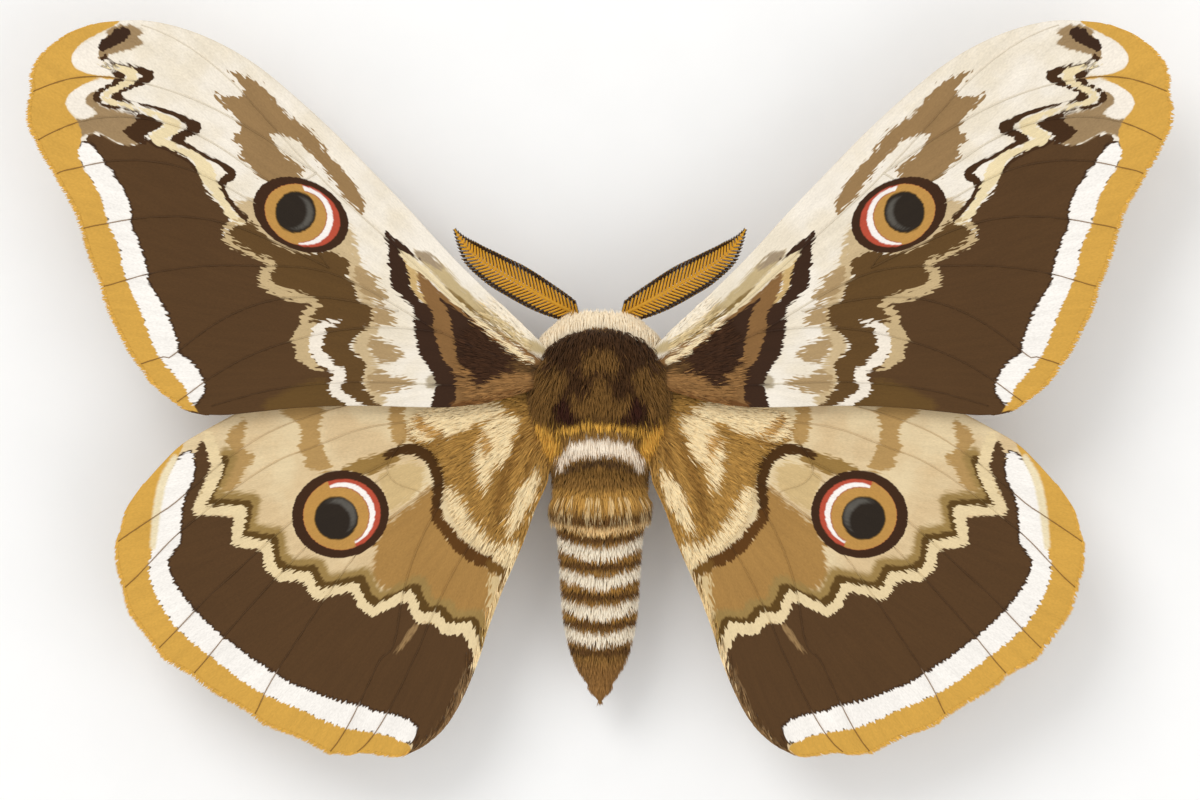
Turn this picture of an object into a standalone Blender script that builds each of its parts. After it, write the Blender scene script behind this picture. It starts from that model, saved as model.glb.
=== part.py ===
"""Giant peacock moth, standing on its six feet with its wings spread flat, at life size.

The moth faces -Y, +Z is up and the floor is at height 0, so its own left side is at +X. Lengths are
written in millimetres and turned into metres when a mesh is made. Paired pieces are made for the
left side and mirrored. Each sub-part is one closed solid, and neighbours keep a thin gap.
"""

import math
import random

import bmesh
import bpy
import numpy as np
from mathutils.geometry import delaunay_2d_cdt

MM = 0.001
GAP = 0.3
CUT_GAP = 0.42  # moved along averaged corner normals, this leaves about GAP between flat faces
SEED = 11

# Coat: how far the fur tips stand above the body, and how far below them the solid core lies
THORAX_CORE_DEPTH = 1.3
ABDOMEN_CORE_DEPTH = 0.9

# Rings of the body with its fur: place along the body, half width, half height, height of the middle
THORAX_RINGS = (
    (-9.7, 2.6, 2.4, 13.0),
    (-8.4, 5.3, 4.5, 12.8),
    (-6.0, 7.8, 6.5, 12.4),
    (-2.5, 9.0, 7.5, 12.1),
    (1.5, 9.1, 7.5, 12.0),
    (5.0, 8.4, 7.0, 11.7),
    (8.0, 7.2, 6.2, 11.3),
)
THORAX_FRONT = -10.2
THORAX_REAR = 8.8
ABDOMEN_RINGS = (
    (7.2, 5.6, 5.0, 11.0),
    (9.5, 6.5, 5.7, 10.9),
    (13.5, 6.8, 5.9, 10.6),
    (17.5, 6.3, 5.7, 10.2),
    (21.5, 5.5, 5.3, 9.8),
    (26.0, 5.2, 5.0, 9.2),
    (30.5, 4.9, 4.7, 8.6),
    (34.5, 4.0, 3.9, 8.0),
    (38.0, 2.4, 2.4, 7.4),
)
ABDOMEN_FRONT = 6.6
ABDOMEN_TIP = 41.4

HEAD_MIDDLE = (0.0, -7.7, 9.4)
HEAD_RADII = (2.8, 2.4, 2.7)
EYE_MIDDLE = (2.5, -8.3, 9.6)
EYE_RADII = (1.25, 1.3, 1.6)

MEMBRANE = 0.5
ROOT_THICKENING = 0.8
ROOT_REACH = 5.0
VEIN_HEIGHT = 0.2
VEIN_HALF_WIDTH = 0.5
SCALLOP = 0.45
WING_HEIGHT = 14.0
WING_RISE = 5.0
WING_DROOP = 3.6
WING_LAYER = 1.0
HALF_SPAN = 75.0

# Wing outlines from above: the front edge from the root outwards, the outer margin from the front
# corner back through the ends of the veins, and the rear edge from the root outwards
FOREWING = {
    "front": ((6.0, -4.2), (8.6, -6.8), (15.0, -12.8), (22.6, -20.4), (30.0, -28.4), (38.0, -36.2),
              (46.0, -42.8), (53.0, -46.5), (60.0, -48.3), (66.0, -47.9)),
    "margin": ((66.0, -47.9), (71.6, -45.4), (74.6, -39.2), (73.8, -32.2), (71.4, -28.3),
               (67.8, -21.0), (65.2, -13.4), (60.6, -3.1), (52.8, 3.4)),
    "rear": ((6.0, -0.6), (9.2, 0.3), (13.5, 1.7), (18.0, 2.5), (30.0, 2.5), (42.0, 2.9),
             (49.0, 3.8), (52.8, 3.4)),
    "root": (7.0, -2.5),
    "layer": WING_LAYER,
}
HINDWING = {
    "front": ((5.6, -0.4), (9.0, -1.0), (14.0, -1.3), (22.0, -1.0), (32.0, -0.6), (41.0, 0.8),
              (47.0, 3.0), (52.0, 5.5), (57.0, 9.5), (60.2, 13.0)),
    "margin": ((60.2, 13.0), (62.9, 19.2), (62.4, 25.8), (57.6, 34.4), (53.2, 37.5), (45.4, 42.8),
               (34.8, 47.5), (30.9, 47.6), (24.5, 47.7)),
    "rear": ((5.4, 5.8), (7.4, 11.5), (9.2, 17.0), (11.2, 22.0), (13.3, 27.5), (15.3, 32.5),
             (17.1, 38.2), (19.3, 42.8), (21.7, 46.0), (24.5, 47.7)),
    "root": (6.5, 3.8),
    "layer": -WING_LAYER,
}

# Main veins as places on the wing: share of the way from root to margin, and share of the way from
# front to rear. A vein that ends at share 1 meets the margin at the numbered margin point.
FOREWING_VEINS = {
    "radius": ((0.02, 0.35), (0.25, 0.2), (0.5, 0.14), (0.75, 0.11), 1),
    "radius_fork": ((0.5, 0.14), (0.75, 0.18), 2),
    "cell_end": ((0.5, 0.14), (0.54, 0.26), (0.53, 0.38), (0.5, 0.47)),
    "media_front": ((0.54, 0.26), (0.77, 0.3), 3),
    "media_middle": ((0.53, 0.38), (0.77, 0.385), 4),
    "cubitus": ((0.02, 0.6), (0.25, 0.52), (0.5, 0.47), (0.75, 0.5), 5),
    "cubitus_fork": ((0.38, 0.49), (0.7, 0.6), 6),
    "cubitus_rear": ((0.25, 0.52), (0.6, 0.72), 7),
    "anal": ((0.02, 0.85), (0.3, 0.84), (0.65, 0.9), (0.93, 0.94)),
}
HINDWING_VEINS = {
    "radius": ((0.02, 0.2), (0.35, 0.13), (0.7, 0.1), 1),
    "radius_rear": ((0.04, 0.34), (0.35, 0.24), (0.7, 0.22), 2),
    "cell_end": ((0.35, 0.24), (0.41, 0.36), (0.38, 0.5)),
    "media_front": ((0.395, 0.32), (0.7, 0.37), 3),
    "media_middle": ((0.41, 0.36), (0.7, 0.45), 4),
    "cubitus": ((0.02, 0.6), (0.2, 0.55), (0.38, 0.5), (0.7, 0.59), 5),
    "cubitus_fork": ((0.29, 0.525), (0.6, 0.7), 6),
    "anal": ((0.02, 0.75), (0.3, 0.77), (0.65, 0.83), 7),
}

ANTENNA_PATH = ((1.5, -8.7, 11.3), (3.8, -10.0, 12.0), (7.0, -11.7, 12.6), (10.0, -13.4, 13.1),
                (13.2, -15.2, 13.5), (16.2, -17.2, 13.8), (18.1, -19.2, 14.0), (19.2, -20.9, 14.1))
ANTENNA_RADIUS = 0.42
ANTENNA_RAYS = 16
RAY_LENGTH = 3.1
RAY_RADIUS = 0.25
RAY_SWEEP = math.radians(52)
RAY_RAISE = 0.18

# Legs: hip inside the thorax, end of coxa, knee, end of shin, heel and toe of the foot on the floor
LEGS = {
    "front": ((2.6, -3.6, 7.6), (4.4, -4.5, 4.9), (10.8, -5.0, 7.6), (13.4, -7.4, 1.5),
              (14.0, -8.2, 0.3), (15.7, -10.6, 0.3)),
    "middle": ((3.0, 0.4, 7.4), (4.8, 0.6, 4.6), (12.6, 0.8, 7.4), (16.8, 1.6, 1.5),
               (17.7, 1.9, 0.3), (21.2, 2.9, 0.3)),
    "hind": ((2.7, 4.2, 7.4), (4.4, 5.3, 4.8), (10.6, 8.4, 7.2), (14.2, 13.2, 1.5),
             (14.8, 14.1, 0.3), (16.8, 17.6, 0.3)),
}
LEG_RADII = (1.2, 1.15, 0.95, 0.5, 0.42, 0.34)
LEG_SIDES = 6
CLAW_LENGTH = 1.1


def clear_scene():
    for obj in list(bpy.data.objects):
        bpy.data.objects.remove(obj)


def material(name, colour, roughness):
    """A plain coat, membrane or horn finish."""
    made = bpy.data.materials.new(name)
    made.use_nodes = True
    shader = made.node_tree.nodes["Principled BSDF"]
    shader.inputs["Base Color"].default_value = (*colour, 1.0)
    shader.inputs["Roughness"].default_value = roughness
    shader.inputs["Metallic"].default_value = 0.0
    return made


def new_object(name, points, faces, finish=None):
    """A mesh object from points in millimetres, with its faces turned outwards."""
    mesh = bpy.data.meshes.new(name)
    mesh.from_pydata([tuple(float(c) * MM for c in p) for p in points], [], faces)
    shape = bmesh.new()
    shape.from_mesh(mesh)
    bmesh.ops.recalc_face_normals(shape, faces=shape.faces)
    shape.to_mesh(mesh)
    shape.free()
    if finish:
        mesh.materials.append(finish)
    obj = bpy.data.objects.new(name, mesh)
    bpy.context.scene.collection.objects.link(obj)
    return obj


def curve_through(points, count, shares=None):
    """Points at even lengths, or at the given shares, along a smooth curve through the given points."""
    knots = np.array(points, float)
    ends = np.vstack([2 * knots[0] - knots[1], knots, 2 * knots[-1] - knots[-2]])
    fine = []
    steps = np.linspace(0, 1, 24, endpoint=False)[:, None]
    for before, start, end, after in zip(ends, ends[1:], ends[2:], ends[3:]):
        fine.append(0.5 * (2 * start + (end - before) * steps
                           + (2 * before - 5 * start + 4 * end - after) * steps ** 2
                           + (3 * start - before - 3 * end + after) * steps ** 3))
    line = np.vstack([*fine, knots[-1:]])
    along = np.concatenate([[0], np.cumsum(np.linalg.norm(np.diff(line, axis=0), axis=1))])
    along /= along[-1]
    wanted = np.linspace(0, 1, count) if shares is None else np.array(shares, float)
    return np.stack([np.interp(wanted, along, line[:, k]) for k in range(line.shape[1])], axis=1)


def tube(path, radii, sides, floor=None):
    """Points and faces of a tapered tube along a path, with closed ends and a flat sole at the floor."""
    path = np.array(path, float)
    radii = np.array(radii, float)
    tangents = np.gradient(path, axis=0)
    tangents /= np.linalg.norm(tangents, axis=1)[:, None]
    across = np.cross(tangents, (0.0, 0.0, 1.0))
    across /= np.linalg.norm(across, axis=1)[:, None]
    up = np.cross(across, tangents)
    turns = (np.arange(sides) + 0.5) * 2 * math.pi / sides
    rings = (path[:, None] + radii[:, None, None] * (np.sin(turns)[None, :, None] * across[:, None]
                                                     + np.cos(turns)[None, :, None] * up[:, None]))
    if floor is not None:
        rings[..., 2] = np.maximum(rings[..., 2], floor)
    return skin_over(rings)


def skin_over(rings):
    """Points and faces of a closed skin over rings that all have the same number of points."""
    count, sides = rings.shape[:2]
    points = [tuple(p) for p in rings.reshape(-1, 3)]
    faces = []
    for k in range(count - 1):
        for j in range(sides):
            here, beside = k * sides + j, k * sides + (j + 1) % sides
            faces.append((here, beside, beside + sides, here + sides))
    for ring, shift in ((0, 0), (count - 1, (count - 1) * sides)):
        points.append(tuple(rings[ring].mean(axis=0)))
        pole = len(points) - 1
        faces += [(pole, shift + j, shift + (j + 1) % sides) for j in range(sides)]
    return points, faces


def ring_at(rings, along, angle, depth=0.0):
    """The body's surface at a place along it and an angle from the top, as far below the fur tips as depth."""
    table = np.array(rings)
    wide, high, middle = (np.interp(along, table[:, 0], table[:, k]) for k in (1, 2, 3))
    return np.array([(wide - depth) * math.sin(angle), along, middle + (high - depth) * math.cos(angle)])


def body(name, rings, front, rear, depth, sides):
    """The solid core of the thorax or abdomen: rings joined along the body, with a pole at each end."""
    turns = np.arange(sides) * 2 * math.pi / sides
    loops = np.array([[ring_at(rings, ring[0], turn, depth) for turn in turns] for ring in rings])
    points, faces = skin_over(loops)
    poles = len(points) - 2
    points[poles] = (0.0, front, rings[0][3])
    points[poles + 1] = (0.0, rear, rings[-1][3])
    return new_object(name, points, faces)


def lock(root, tip, out, width, thickness, sink, bend):
    """A flat, tapered lock of fur with a low keel, from a root sunk in the body to its tip, bowed away
    from the body."""
    root, tip, out = (np.array(v, float) for v in (root, tip, out))
    lie = tip - root
    length = np.linalg.norm(lie)
    lie /= length
    across = np.cross(lie, out)
    across /= np.linalg.norm(across)
    out = np.cross(across, lie)
    points = []
    for share, wide in ((0.0, 0.8), (0.5, 1.0)):
        middle = root + lie * length * share + out * (bend * 2 * share - sink * (1 - share))
        under = middle - out * thickness * 0.4
        side = across * width * wide / 2
        points += [under - side, middle + out * thickness * 0.6, under + side]
    points.append(tip)
    faces = [(0, 1, 2), (0, 1, 4, 3), (1, 2, 5, 4), (2, 0, 3, 5), (6, 3, 4), (6, 4, 5), (6, 5, 3)]
    return [tuple(p) for p in points], faces


def fuse(base, shapes, solver="EXACT"):
    """Joins closed shapes, given as points and faces, to the base object with one union."""
    group = bpy.data.collections.new(base.name + "_pieces")
    for k, (points, faces) in enumerate(shapes):
        piece = new_object(f"{base.name}_piece_{k}", points, faces)
        bpy.context.scene.collection.objects.unlink(piece)
        group.objects.link(piece)
    join = base.modifiers.new("join", "BOOLEAN")
    join.operation = "UNION"
    join.operand_type = "COLLECTION"
    join.collection = group
    join.solver = solver
    apply_modifiers(base)
    for piece in list(group.objects):
        bpy.data.objects.remove(piece)
    bpy.data.collections.remove(group)
    keep_largest(base)


def grown_copy(obj):
    """A copy of a piece with its surface moved outwards by the gap."""
    cutter = obj.copy()
    cutter.data = obj.data.copy()
    cutter.name = obj.name + "_clearance"
    bpy.context.scene.collection.objects.link(cutter)
    shape = bmesh.new()
    shape.from_mesh(cutter.data)
    shape.normal_update()
    moved = [vert.co + vert.normal * (CUT_GAP * MM) for vert in shape.verts]
    for vert, place in zip(shape.verts, moved):
        vert.co = place
    shape.to_mesh(cutter.data)
    shape.free()
    return cutter


def carve(base, cutters, solver="EXACT"):
    """Cuts the base object by each of the cutters in turn."""
    for cutter in cutters:
        cut = base.modifiers.new("cut", "BOOLEAN")
        cut.operation = "DIFFERENCE"
        cut.object = cutter
        cut.solver = solver
        cut.use_self = True
        apply_modifiers(base)
    keep_largest(base)


def apply_modifiers(obj):
    graph = bpy.context.evaluated_depsgraph_get()
    graph.update()
    made = bpy.data.meshes.new_from_object(obj.evaluated_get(graph))
    old = obj.data
    obj.modifiers.clear()
    obj.data = made
    bpy.data.meshes.remove(old)
    made.name = obj.name


def keep_largest(obj):
    """Leaves only the closed surface that holds the most volume."""
    shape = bmesh.new()
    shape.from_mesh(obj.data)
    bmesh.ops.remove_doubles(shape, verts=shape.verts, dist=0.0005 * MM)
    bmesh.ops.dissolve_degenerate(shape, edges=shape.edges, dist=0.001 * MM)
    bmesh.ops.triangulate(shape, faces=shape.faces)
    left = set(shape.faces)
    groups = []
    while left:
        start = left.pop()
        group, edge_of = {start}, [start]
        while edge_of:
            for edge in edge_of.pop().edges:
                for face in edge.link_faces:
                    if face in left:
                        left.discard(face)
                        group.add(face)
                        edge_of.append(face)
        groups.append(group)

    def volume(group):
        total = 0.0
        for face in group:
            a, b, c = (vert.co for vert in face.verts)
            total += a.dot(b.cross(c))
        return abs(total)

    keep = max(groups, key=volume)
    spare = [face for face in shape.faces if face not in keep]
    bmesh.ops.delete(shape, geom=spare, context="FACES")
    bmesh.ops.recalc_face_normals(shape, faces=shape.faces)
    shape.to_mesh(obj.data)
    shape.free()


def finish(obj, look, smooth=True):
    """Gives the finished node its material and smooth or flat shading."""
    obj.data.materials.clear()
    obj.data.materials.append(look)
    if smooth:
        obj.data.shade_smooth()
        obj.data.set_sharp_from_angle(angle=math.radians(50))
    return obj


def mirrored(obj, name):
    """The same piece for the other side of the body."""
    mesh = obj.data.copy()
    shape = bmesh.new()
    shape.from_mesh(mesh)
    for vert in shape.verts:
        vert.co.x = -vert.co.x
    bmesh.ops.reverse_faces(shape, faces=shape.faces)
    shape.to_mesh(mesh)
    shape.free()
    twin = bpy.data.objects.new(name, mesh)
    bpy.context.scene.collection.objects.link(twin)
    return twin


def margin_with_scallops(wing, per_scallop=4):
    """The outer margin from front to rear, bulging a little between the ends of the veins, and the place of
    each margin point along it."""
    line = curve_through(wing["margin"], 240)
    gaps = np.linalg.norm(line[:, None] - np.array(wing["margin"])[None], axis=2)
    marks = np.argmin(gaps, axis=0)
    points, ends = [], []
    for start, end in zip(marks, marks[1:]):
        ends.append(len(points))
        for k in range(per_scallop):
            share = k / per_scallop
            place = start + (end - start) * share
            low = int(place)
            here = line[low] + (line[min(low + 1, 239)] - line[low]) * (place - low)
            tangent = line[min(low + 2, 239)] - line[max(low - 2, 0)]
            tangent /= np.linalg.norm(tangent)
            outward = np.array([-tangent[1], tangent[0]])
            if outward @ (here - np.array(wing["root"])) < 0:
                outward = -outward
            points.append(here + outward * SCALLOP * math.sin(math.pi * share))
    ends.append(len(points))
    points.append(line[-1])
    return np.array(points), ends


def wing_place(wing, out_share, back_share):
    """A point of the wing from its share of the way out from the root and back from the front edge."""
    front = curve_through(wing["front"], 2, (0.0, out_share))[1]
    rear = curve_through(wing["rear"], 2, (0.0, out_share))[1]
    margin = curve_through(wing["margin"], 2, (0.0, back_share))[1]
    corners = ((1 - back_share) * np.array(wing["front"][-1]) + back_share * np.array(wing["rear"][-1]))
    return (1 - back_share) * front + back_share * rear + out_share * (margin - corners)


def wing_height(wing, x, y):
    """Height of the middle of the membrane: a common rise and droop, one wing lying over the other,
    a lower front edge on the forewing, a fold beside the abdomen on the hindwing and a slow wave."""
    out = (x - wing["root"][0]) / (HALF_SPAN - wing["root"][0])
    height = WING_HEIGHT + WING_RISE * out - WING_DROOP * out ** 2 + wing["layer"]
    turn = math.atan2(y - wing["root"][1], max(x - wing["root"][0], 0.1))
    reach = math.hypot(x - wing["root"][0], y - wing["root"][1]) / HALF_SPAN
    if wing is FOREWING:
        forward = max(-turn, 0.0)
        height += -1.6 * reach * forward ** 2 + 0.9 * reach ** 2 * math.sin(5.0 * forward)
    else:
        back = max(turn - 0.25, 0.0)
        height += -1.7 * reach * back ** 2 + 0.8 * reach ** 2 * math.sin(4.2 * back)
    return height


def distance_to_lines(point, lines):
    """How far a point lies from the nearest of several polylines."""
    best = 1e9
    for line in lines:
        starts, steps = line[:-1], np.diff(line, axis=0)
        share = np.einsum("ij,ij->i", point - starts, steps) / np.einsum("ij,ij->i", steps, steps)
        nearest = starts + np.clip(share, 0, 1)[:, None] * steps
        best = min(best, np.linalg.norm(nearest - point, axis=1).min())
    return best


def wing(name, shape, veins, look):
    """A thin wing with its veins raised as ridges. One flat triangulation, with the lines of the veins
    and of their feet as fixed edges, serves both faces."""
    margin, ends = margin_with_scallops(shape)
    front = curve_through(shape["front"], 15)
    rear = curve_through(shape["rear"], 12)
    outline = np.vstack([front[:-1], margin, rear[::-1][1:]])
    points = [tuple(p) for p in outline]
    edges = [(k, (k + 1) % len(outline)) for k in range(len(outline))]
    crests = []
    for knots in veins.values():
        places = [wing_place(shape, *knot) for knot in knots if isinstance(knot, tuple)]
        if isinstance(knots[-1], int):
            places.append(margin[ends[knots[-1]]])
        length = np.linalg.norm(np.diff(places, axis=0), axis=1).sum()
        crests.append(curve_through(places, max(3, 1 + round(length / 7.0))))
    for crest in crests:
        tangents = np.gradient(crest, axis=0)
        tangents /= np.linalg.norm(tangents, axis=1)[:, None]
        side = np.stack([-tangents[:, 1], tangents[:, 0]], axis=1) * VEIN_HALF_WIDTH
        for offset in (-1, 0, 1):
            line = crest + offset * side
            line[0], line[-1] = crest[0], crest[-1]
            first = len(points)
            points += [tuple(p) for p in line]
            edges += [(first + k, first + k + 1) for k in range(len(line) - 1)]
    for out_share in (0.12, 0.3, 0.48, 0.64, 0.78, 0.9):
        for back_share in np.linspace(0.06, 0.94, 6):
            place = wing_place(shape, out_share, back_share)
            if distance_to_lines(place, crests) > 1.8 and distance_to_lines(place, [outline]) > 1.8:
                points.append(tuple(place))
    border = list(range(len(outline)))
    flat, _, faces, _, _, _ = delaunay_2d_cdt(points, edges, [border], 1, 1e-3)
    flat = np.array([tuple(p) for p in flat])
    upper, lower = [], []
    loop = np.vstack([outline, outline[:1]])
    for place in flat:
        x, y = place
        height = wing_height(shape, x, y)
        reach = math.hypot(x - shape["root"][0], y - shape["root"][1])
        thick = MEMBRANE + ROOT_THICKENING * math.exp(-((reach / ROOT_REACH) ** 2))
        near_vein = max(0.0, 1 - distance_to_lines(place, crests) / VEIN_HALF_WIDTH)
        near_front = max(0.0, 1 - distance_to_lines(place, [front]) / 1.0)
        inside = min(1.0, distance_to_lines(place, [loop]) / 1.5)
        ridge = VEIN_HEIGHT * max(near_vein * inside, 0.7 * near_front)
        upper.append((x, y, height + thick / 2 + ridge))
        lower.append((x, y, height - thick / 2 - 0.6 * ridge))
    count = len(flat)
    sides = {}
    for face in faces:
        for a, b in zip(face, (*face[1:], face[0])):
            sides[(a, b)] = sides.get((a, b), 0) + 1
    rim = [pair for pair in sides if (pair[1], pair[0]) not in sides]
    skin = [tuple(face) for face in faces] + [tuple(count + k for k in reversed(face)) for face in faces]
    for a, b in rim:
        skin += [(b, a, count + a), (b, count + a, count + b)]
    return finish(new_object(name, upper + lower, skin), look, smooth=False)


def antenna(name, look, ray_count=ANTENNA_RAYS, grown=0.0):
    """A feathered feeler: a tapered shaft with a swept ray on either side of each joint. A grown one with
    few rays is the room it needs at its base."""
    path = curve_through(ANTENNA_PATH, 15)
    shares = np.linspace(0, 1, 15)
    shaft = new_object(name, *tube(path, ANTENNA_RADIUS * (1 - 0.55 * shares) + grown, 6))
    joints = curve_through(ANTENNA_PATH, 0, np.linspace(0.16, 0.93, ANTENNA_RAYS))
    rays = []
    for k, place in enumerate(joints[:ray_count]):
        share = 0.16 + 0.77 * k / (ANTENNA_RAYS - 1)
        ahead = joints[min(k + 1, ANTENNA_RAYS - 1)] - joints[max(k - 1, 0)]
        ahead /= np.linalg.norm(ahead)
        across = np.cross(ahead, (0.0, 0.0, 1.0))
        across /= np.linalg.norm(across)
        length = RAY_LENGTH * (math.sin(math.pi * (0.10 + 0.86 * share)) ** 0.7)
        for side in (-1, 1):
            way = ahead * math.cos(RAY_SWEEP) + side * across * math.sin(RAY_SWEEP)
            way = way + np.array([0.0, 0.0, RAY_RAISE])
            steps = np.array([0.0, 0.45, 0.9, 1.0])
            line = place + steps[:, None] * (length + grown) * way
            line += (steps ** 2)[:, None] * length * 0.12 * ahead
            rays.append(tube(line[:-1], RAY_RADIUS * np.array([1.0, 0.95, 0.6]) + grown, 4))
    fuse(shaft, rays)
    return finish(shaft, look, smooth=False)


def eye(name, look):
    """A bulging compound eye."""
    sphere = bpy.data.meshes.new(name)
    shape = bmesh.new()
    bmesh.ops.create_uvsphere(shape, u_segments=14, v_segments=9, radius=1.0)
    for vert in shape.verts:
        vert.co = [(m + r * c) * MM for m, r, c in zip(EYE_MIDDLE, EYE_RADII, vert.co)]
    shape.to_mesh(sphere)
    shape.free()
    obj = bpy.data.objects.new(name, sphere)
    bpy.context.scene.collection.objects.link(obj)
    return finish(obj, look)


def head():
    """The head: a rounded skull with short palps below, and a brow and face of forward and downward locks."""
    rings = []
    for share in np.linspace(0.12, 0.88, 6):
        polar = math.pi * share
        size = math.sin(polar)
        y = HEAD_MIDDLE[1] - HEAD_RADII[1] * math.cos(polar)
        rings.append([(HEAD_MIDDLE[0] + HEAD_RADII[0] * size * math.sin(turn), y,
                       HEAD_MIDDLE[2] + HEAD_RADII[2] * size * math.cos(turn))
                      for turn in np.arange(10) * math.pi / 5])
    skull = new_object("head", *skin_over(np.array(rings)))
    shapes = []
    for side in (-1, 1):
        palp = curve_through(((side * 0.9, -8.4, 7.6), (side * 1.0, -9.6, 7.3), (side * 0.9, -10.1, 8.4)), 5)
        shapes.append(tube(palp, (0.6, 0.65, 0.6, 0.5, 0.3), 6))
    for row, (root_height, reach, count) in enumerate(((1.9, 0.9, 5), (0.5, 1.0, 5), (-0.9, 0.95, 4))):
        for k in range(count):
            spread = (k - (count - 1) / 2) / (count / 2)
            turn = spread * 0.95
            root = np.array([HEAD_RADII[0] * 0.75 * math.sin(turn), HEAD_MIDDLE[1] - 1.9 * math.cos(turn),
                             HEAD_MIDDLE[2] + root_height])
            out = np.array([0.8 * math.sin(turn), -math.cos(turn), 0.35])
            tip = root + reach * out + np.array([0.25 * spread, 0.0, -1.7 + 0.3 * row])
            tip[1] = max(tip[1], THORAX_FRONT + 0.1)
            shapes.append(lock(root, tip, out, 1.25, 0.6, 0.35, 0.15))
    fuse(skull, shapes)
    return skull


def near(place, spots, reach):
    return any(np.linalg.norm(np.array(place) - np.array(spot)) < reach for spot in spots)


def thorax(roots):
    """The thorax: a core under rows of locks that lie towards the tail, with a ruff that lies forwards."""
    core = body("thorax", THORAX_RINGS, THORAX_FRONT + 1.0, THORAX_REAR - 0.4, THORAX_CORE_DEPTH, 20)
    draw = random.Random(SEED)
    locks = []
    rows = ((-6.3, 3.7, 12, 0.0), (-3.4, 4.4, 13, 0.5), (-0.3, 4.5, 13, 0.0), (2.6, 4.4, 13, 0.5),
            (4.8, 4.0, 12, 0.0))
    for start, length, count, shift in rows:
        for k in range(count):
            angle = (k + shift) * 2 * math.pi / count + draw.uniform(-0.04, 0.04)
            base = ring_at(THORAX_RINGS, start, angle, THORAX_CORE_DEPTH)
            if near(base, roots, 2.5):
                continue
            end = min(start + length * draw.uniform(0.92, 1.08), THORAX_REAR)
            tip = ring_at(THORAX_RINGS, end, angle + draw.uniform(-0.05, 0.05), 0.0)
            out = ring_at(THORAX_RINGS, start, angle) - (0, start, 12.0)
            locks.append(lock(base, tip, out, 3.8, 1.0, 0.5, 0.35))
    for start, end, count, width in ((-6.6, -9.4, 11, 3.0), (-8.5, -10.3, 7, 2.4)):
        for k in range(count):
            angle = math.radians(-102 + 204 * k / (count - 1)) * (1.0 if count > 7 else 0.85)
            base = ring_at(THORAX_RINGS, start, angle, THORAX_CORE_DEPTH)
            tip = ring_at(THORAX_RINGS, end + 0.7 * abs(math.sin(angle)), angle, -0.35)
            if count == 7:
                tip = tip - np.array([0.3 * tip[0], 0.0, 0.6 * math.cos(angle)])
            out = ring_at(THORAX_RINGS, start - 1.0, angle) - (0, -3.0, 12.4)
            locks.append(lock(base, tip, out, width, 1.0, 0.5, 0.5))
    fuse(core, locks)
    return core


def abdomen():
    """The abdomen: a tapered core with a ring of locks over each joint and a pointed tuft at the tail."""
    core = body("abdomen", ABDOMEN_RINGS, ABDOMEN_FRONT, ABDOMEN_TIP - 1.4, ABDOMEN_CORE_DEPTH, 16)
    draw = random.Random(SEED + 1)
    locks = []
    rows = ((8.9, 3.6, 11), (12.4, 3.8, 11), (15.9, 3.6, 11), (19.4, 3.6, 10), (23.3, 3.7, 10),
            (27.3, 3.7, 9), (31.2, 3.7, 8))
    for row, (start, length, count) in enumerate(rows):
        for k in range(count):
            angle = (k + 0.5 * (row % 2)) * 2 * math.pi / count + draw.uniform(-0.04, 0.04)
            base = ring_at(ABDOMEN_RINGS, start, angle, ABDOMEN_CORE_DEPTH)
            end = start + length * draw.uniform(0.92, 1.06)
            tip = ring_at(ABDOMEN_RINGS, end, angle + draw.uniform(-0.05, 0.05), 0.0)
            out = ring_at(ABDOMEN_RINGS, start, angle) - (0, start, ABDOMEN_RINGS[4][3])
            locks.append(lock(base, tip, out, 3.3, 0.85, 0.4, 0.2))
    for k in range(6):
        angle = (k + 0.25) * math.pi / 3
        base = ring_at(ABDOMEN_RINGS, 34.6, angle, ABDOMEN_CORE_DEPTH)
        tip = np.array([0.55 * math.sin(angle), ABDOMEN_TIP - 0.7 * (k % 3), 6.9 + 0.55 * math.cos(angle)])
        out = ring_at(ABDOMEN_RINGS, 34.6, angle) - (0, 34.6, 8.0)
        locks.append(lock(base, tip, out, 2.2, 0.75, 0.4, 0.35))
    fuse(core, locks)
    return core


def leg(name, path, look):
    """A leg: a stout furred thigh and shin, and a slim foot that lies flat on the floor with two claws."""
    line, radii = [], []
    places = np.array(path, float)
    steps = (2, 3, 4, 1, 3)
    for k, count in enumerate(steps):
        for step in range(count):
            share = step / count
            line.append(places[k] * (1 - share) + places[k + 1] * share)
            swell = 1 + 0.18 * math.sin(math.pi * share) * (k in (1, 2))
            radii.append((LEG_RADII[k] * (1 - share) + LEG_RADII[k + 1] * share) * swell)
    line.append(places[-1])
    radii.append(LEG_RADII[-1] * 0.85)
    obj = new_object(name, *tube(line, radii, LEG_SIDES, floor=0.0))
    ahead = places[-1] - places[-2]
    ahead /= np.linalg.norm(ahead)
    across = np.array([-ahead[1], ahead[0], 0.0])
    claws = []
    for side in (-1, 1):
        start = places[-1] - ahead * 0.35 + across * side * 0.1
        middle = start + ahead * 0.75 * CLAW_LENGTH + across * side * 0.35 + np.array([0, 0, 0.12])
        tip = start + ahead * 1.25 * CLAW_LENGTH + across * side * 0.42 - np.array([0, 0, 0.05])
        claws.append(tube([start, middle, tip], (0.26, 0.22, 0.08), 5, floor=0.02))
    fuse(obj, claws)
    return finish(obj, look, smooth=False)


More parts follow.
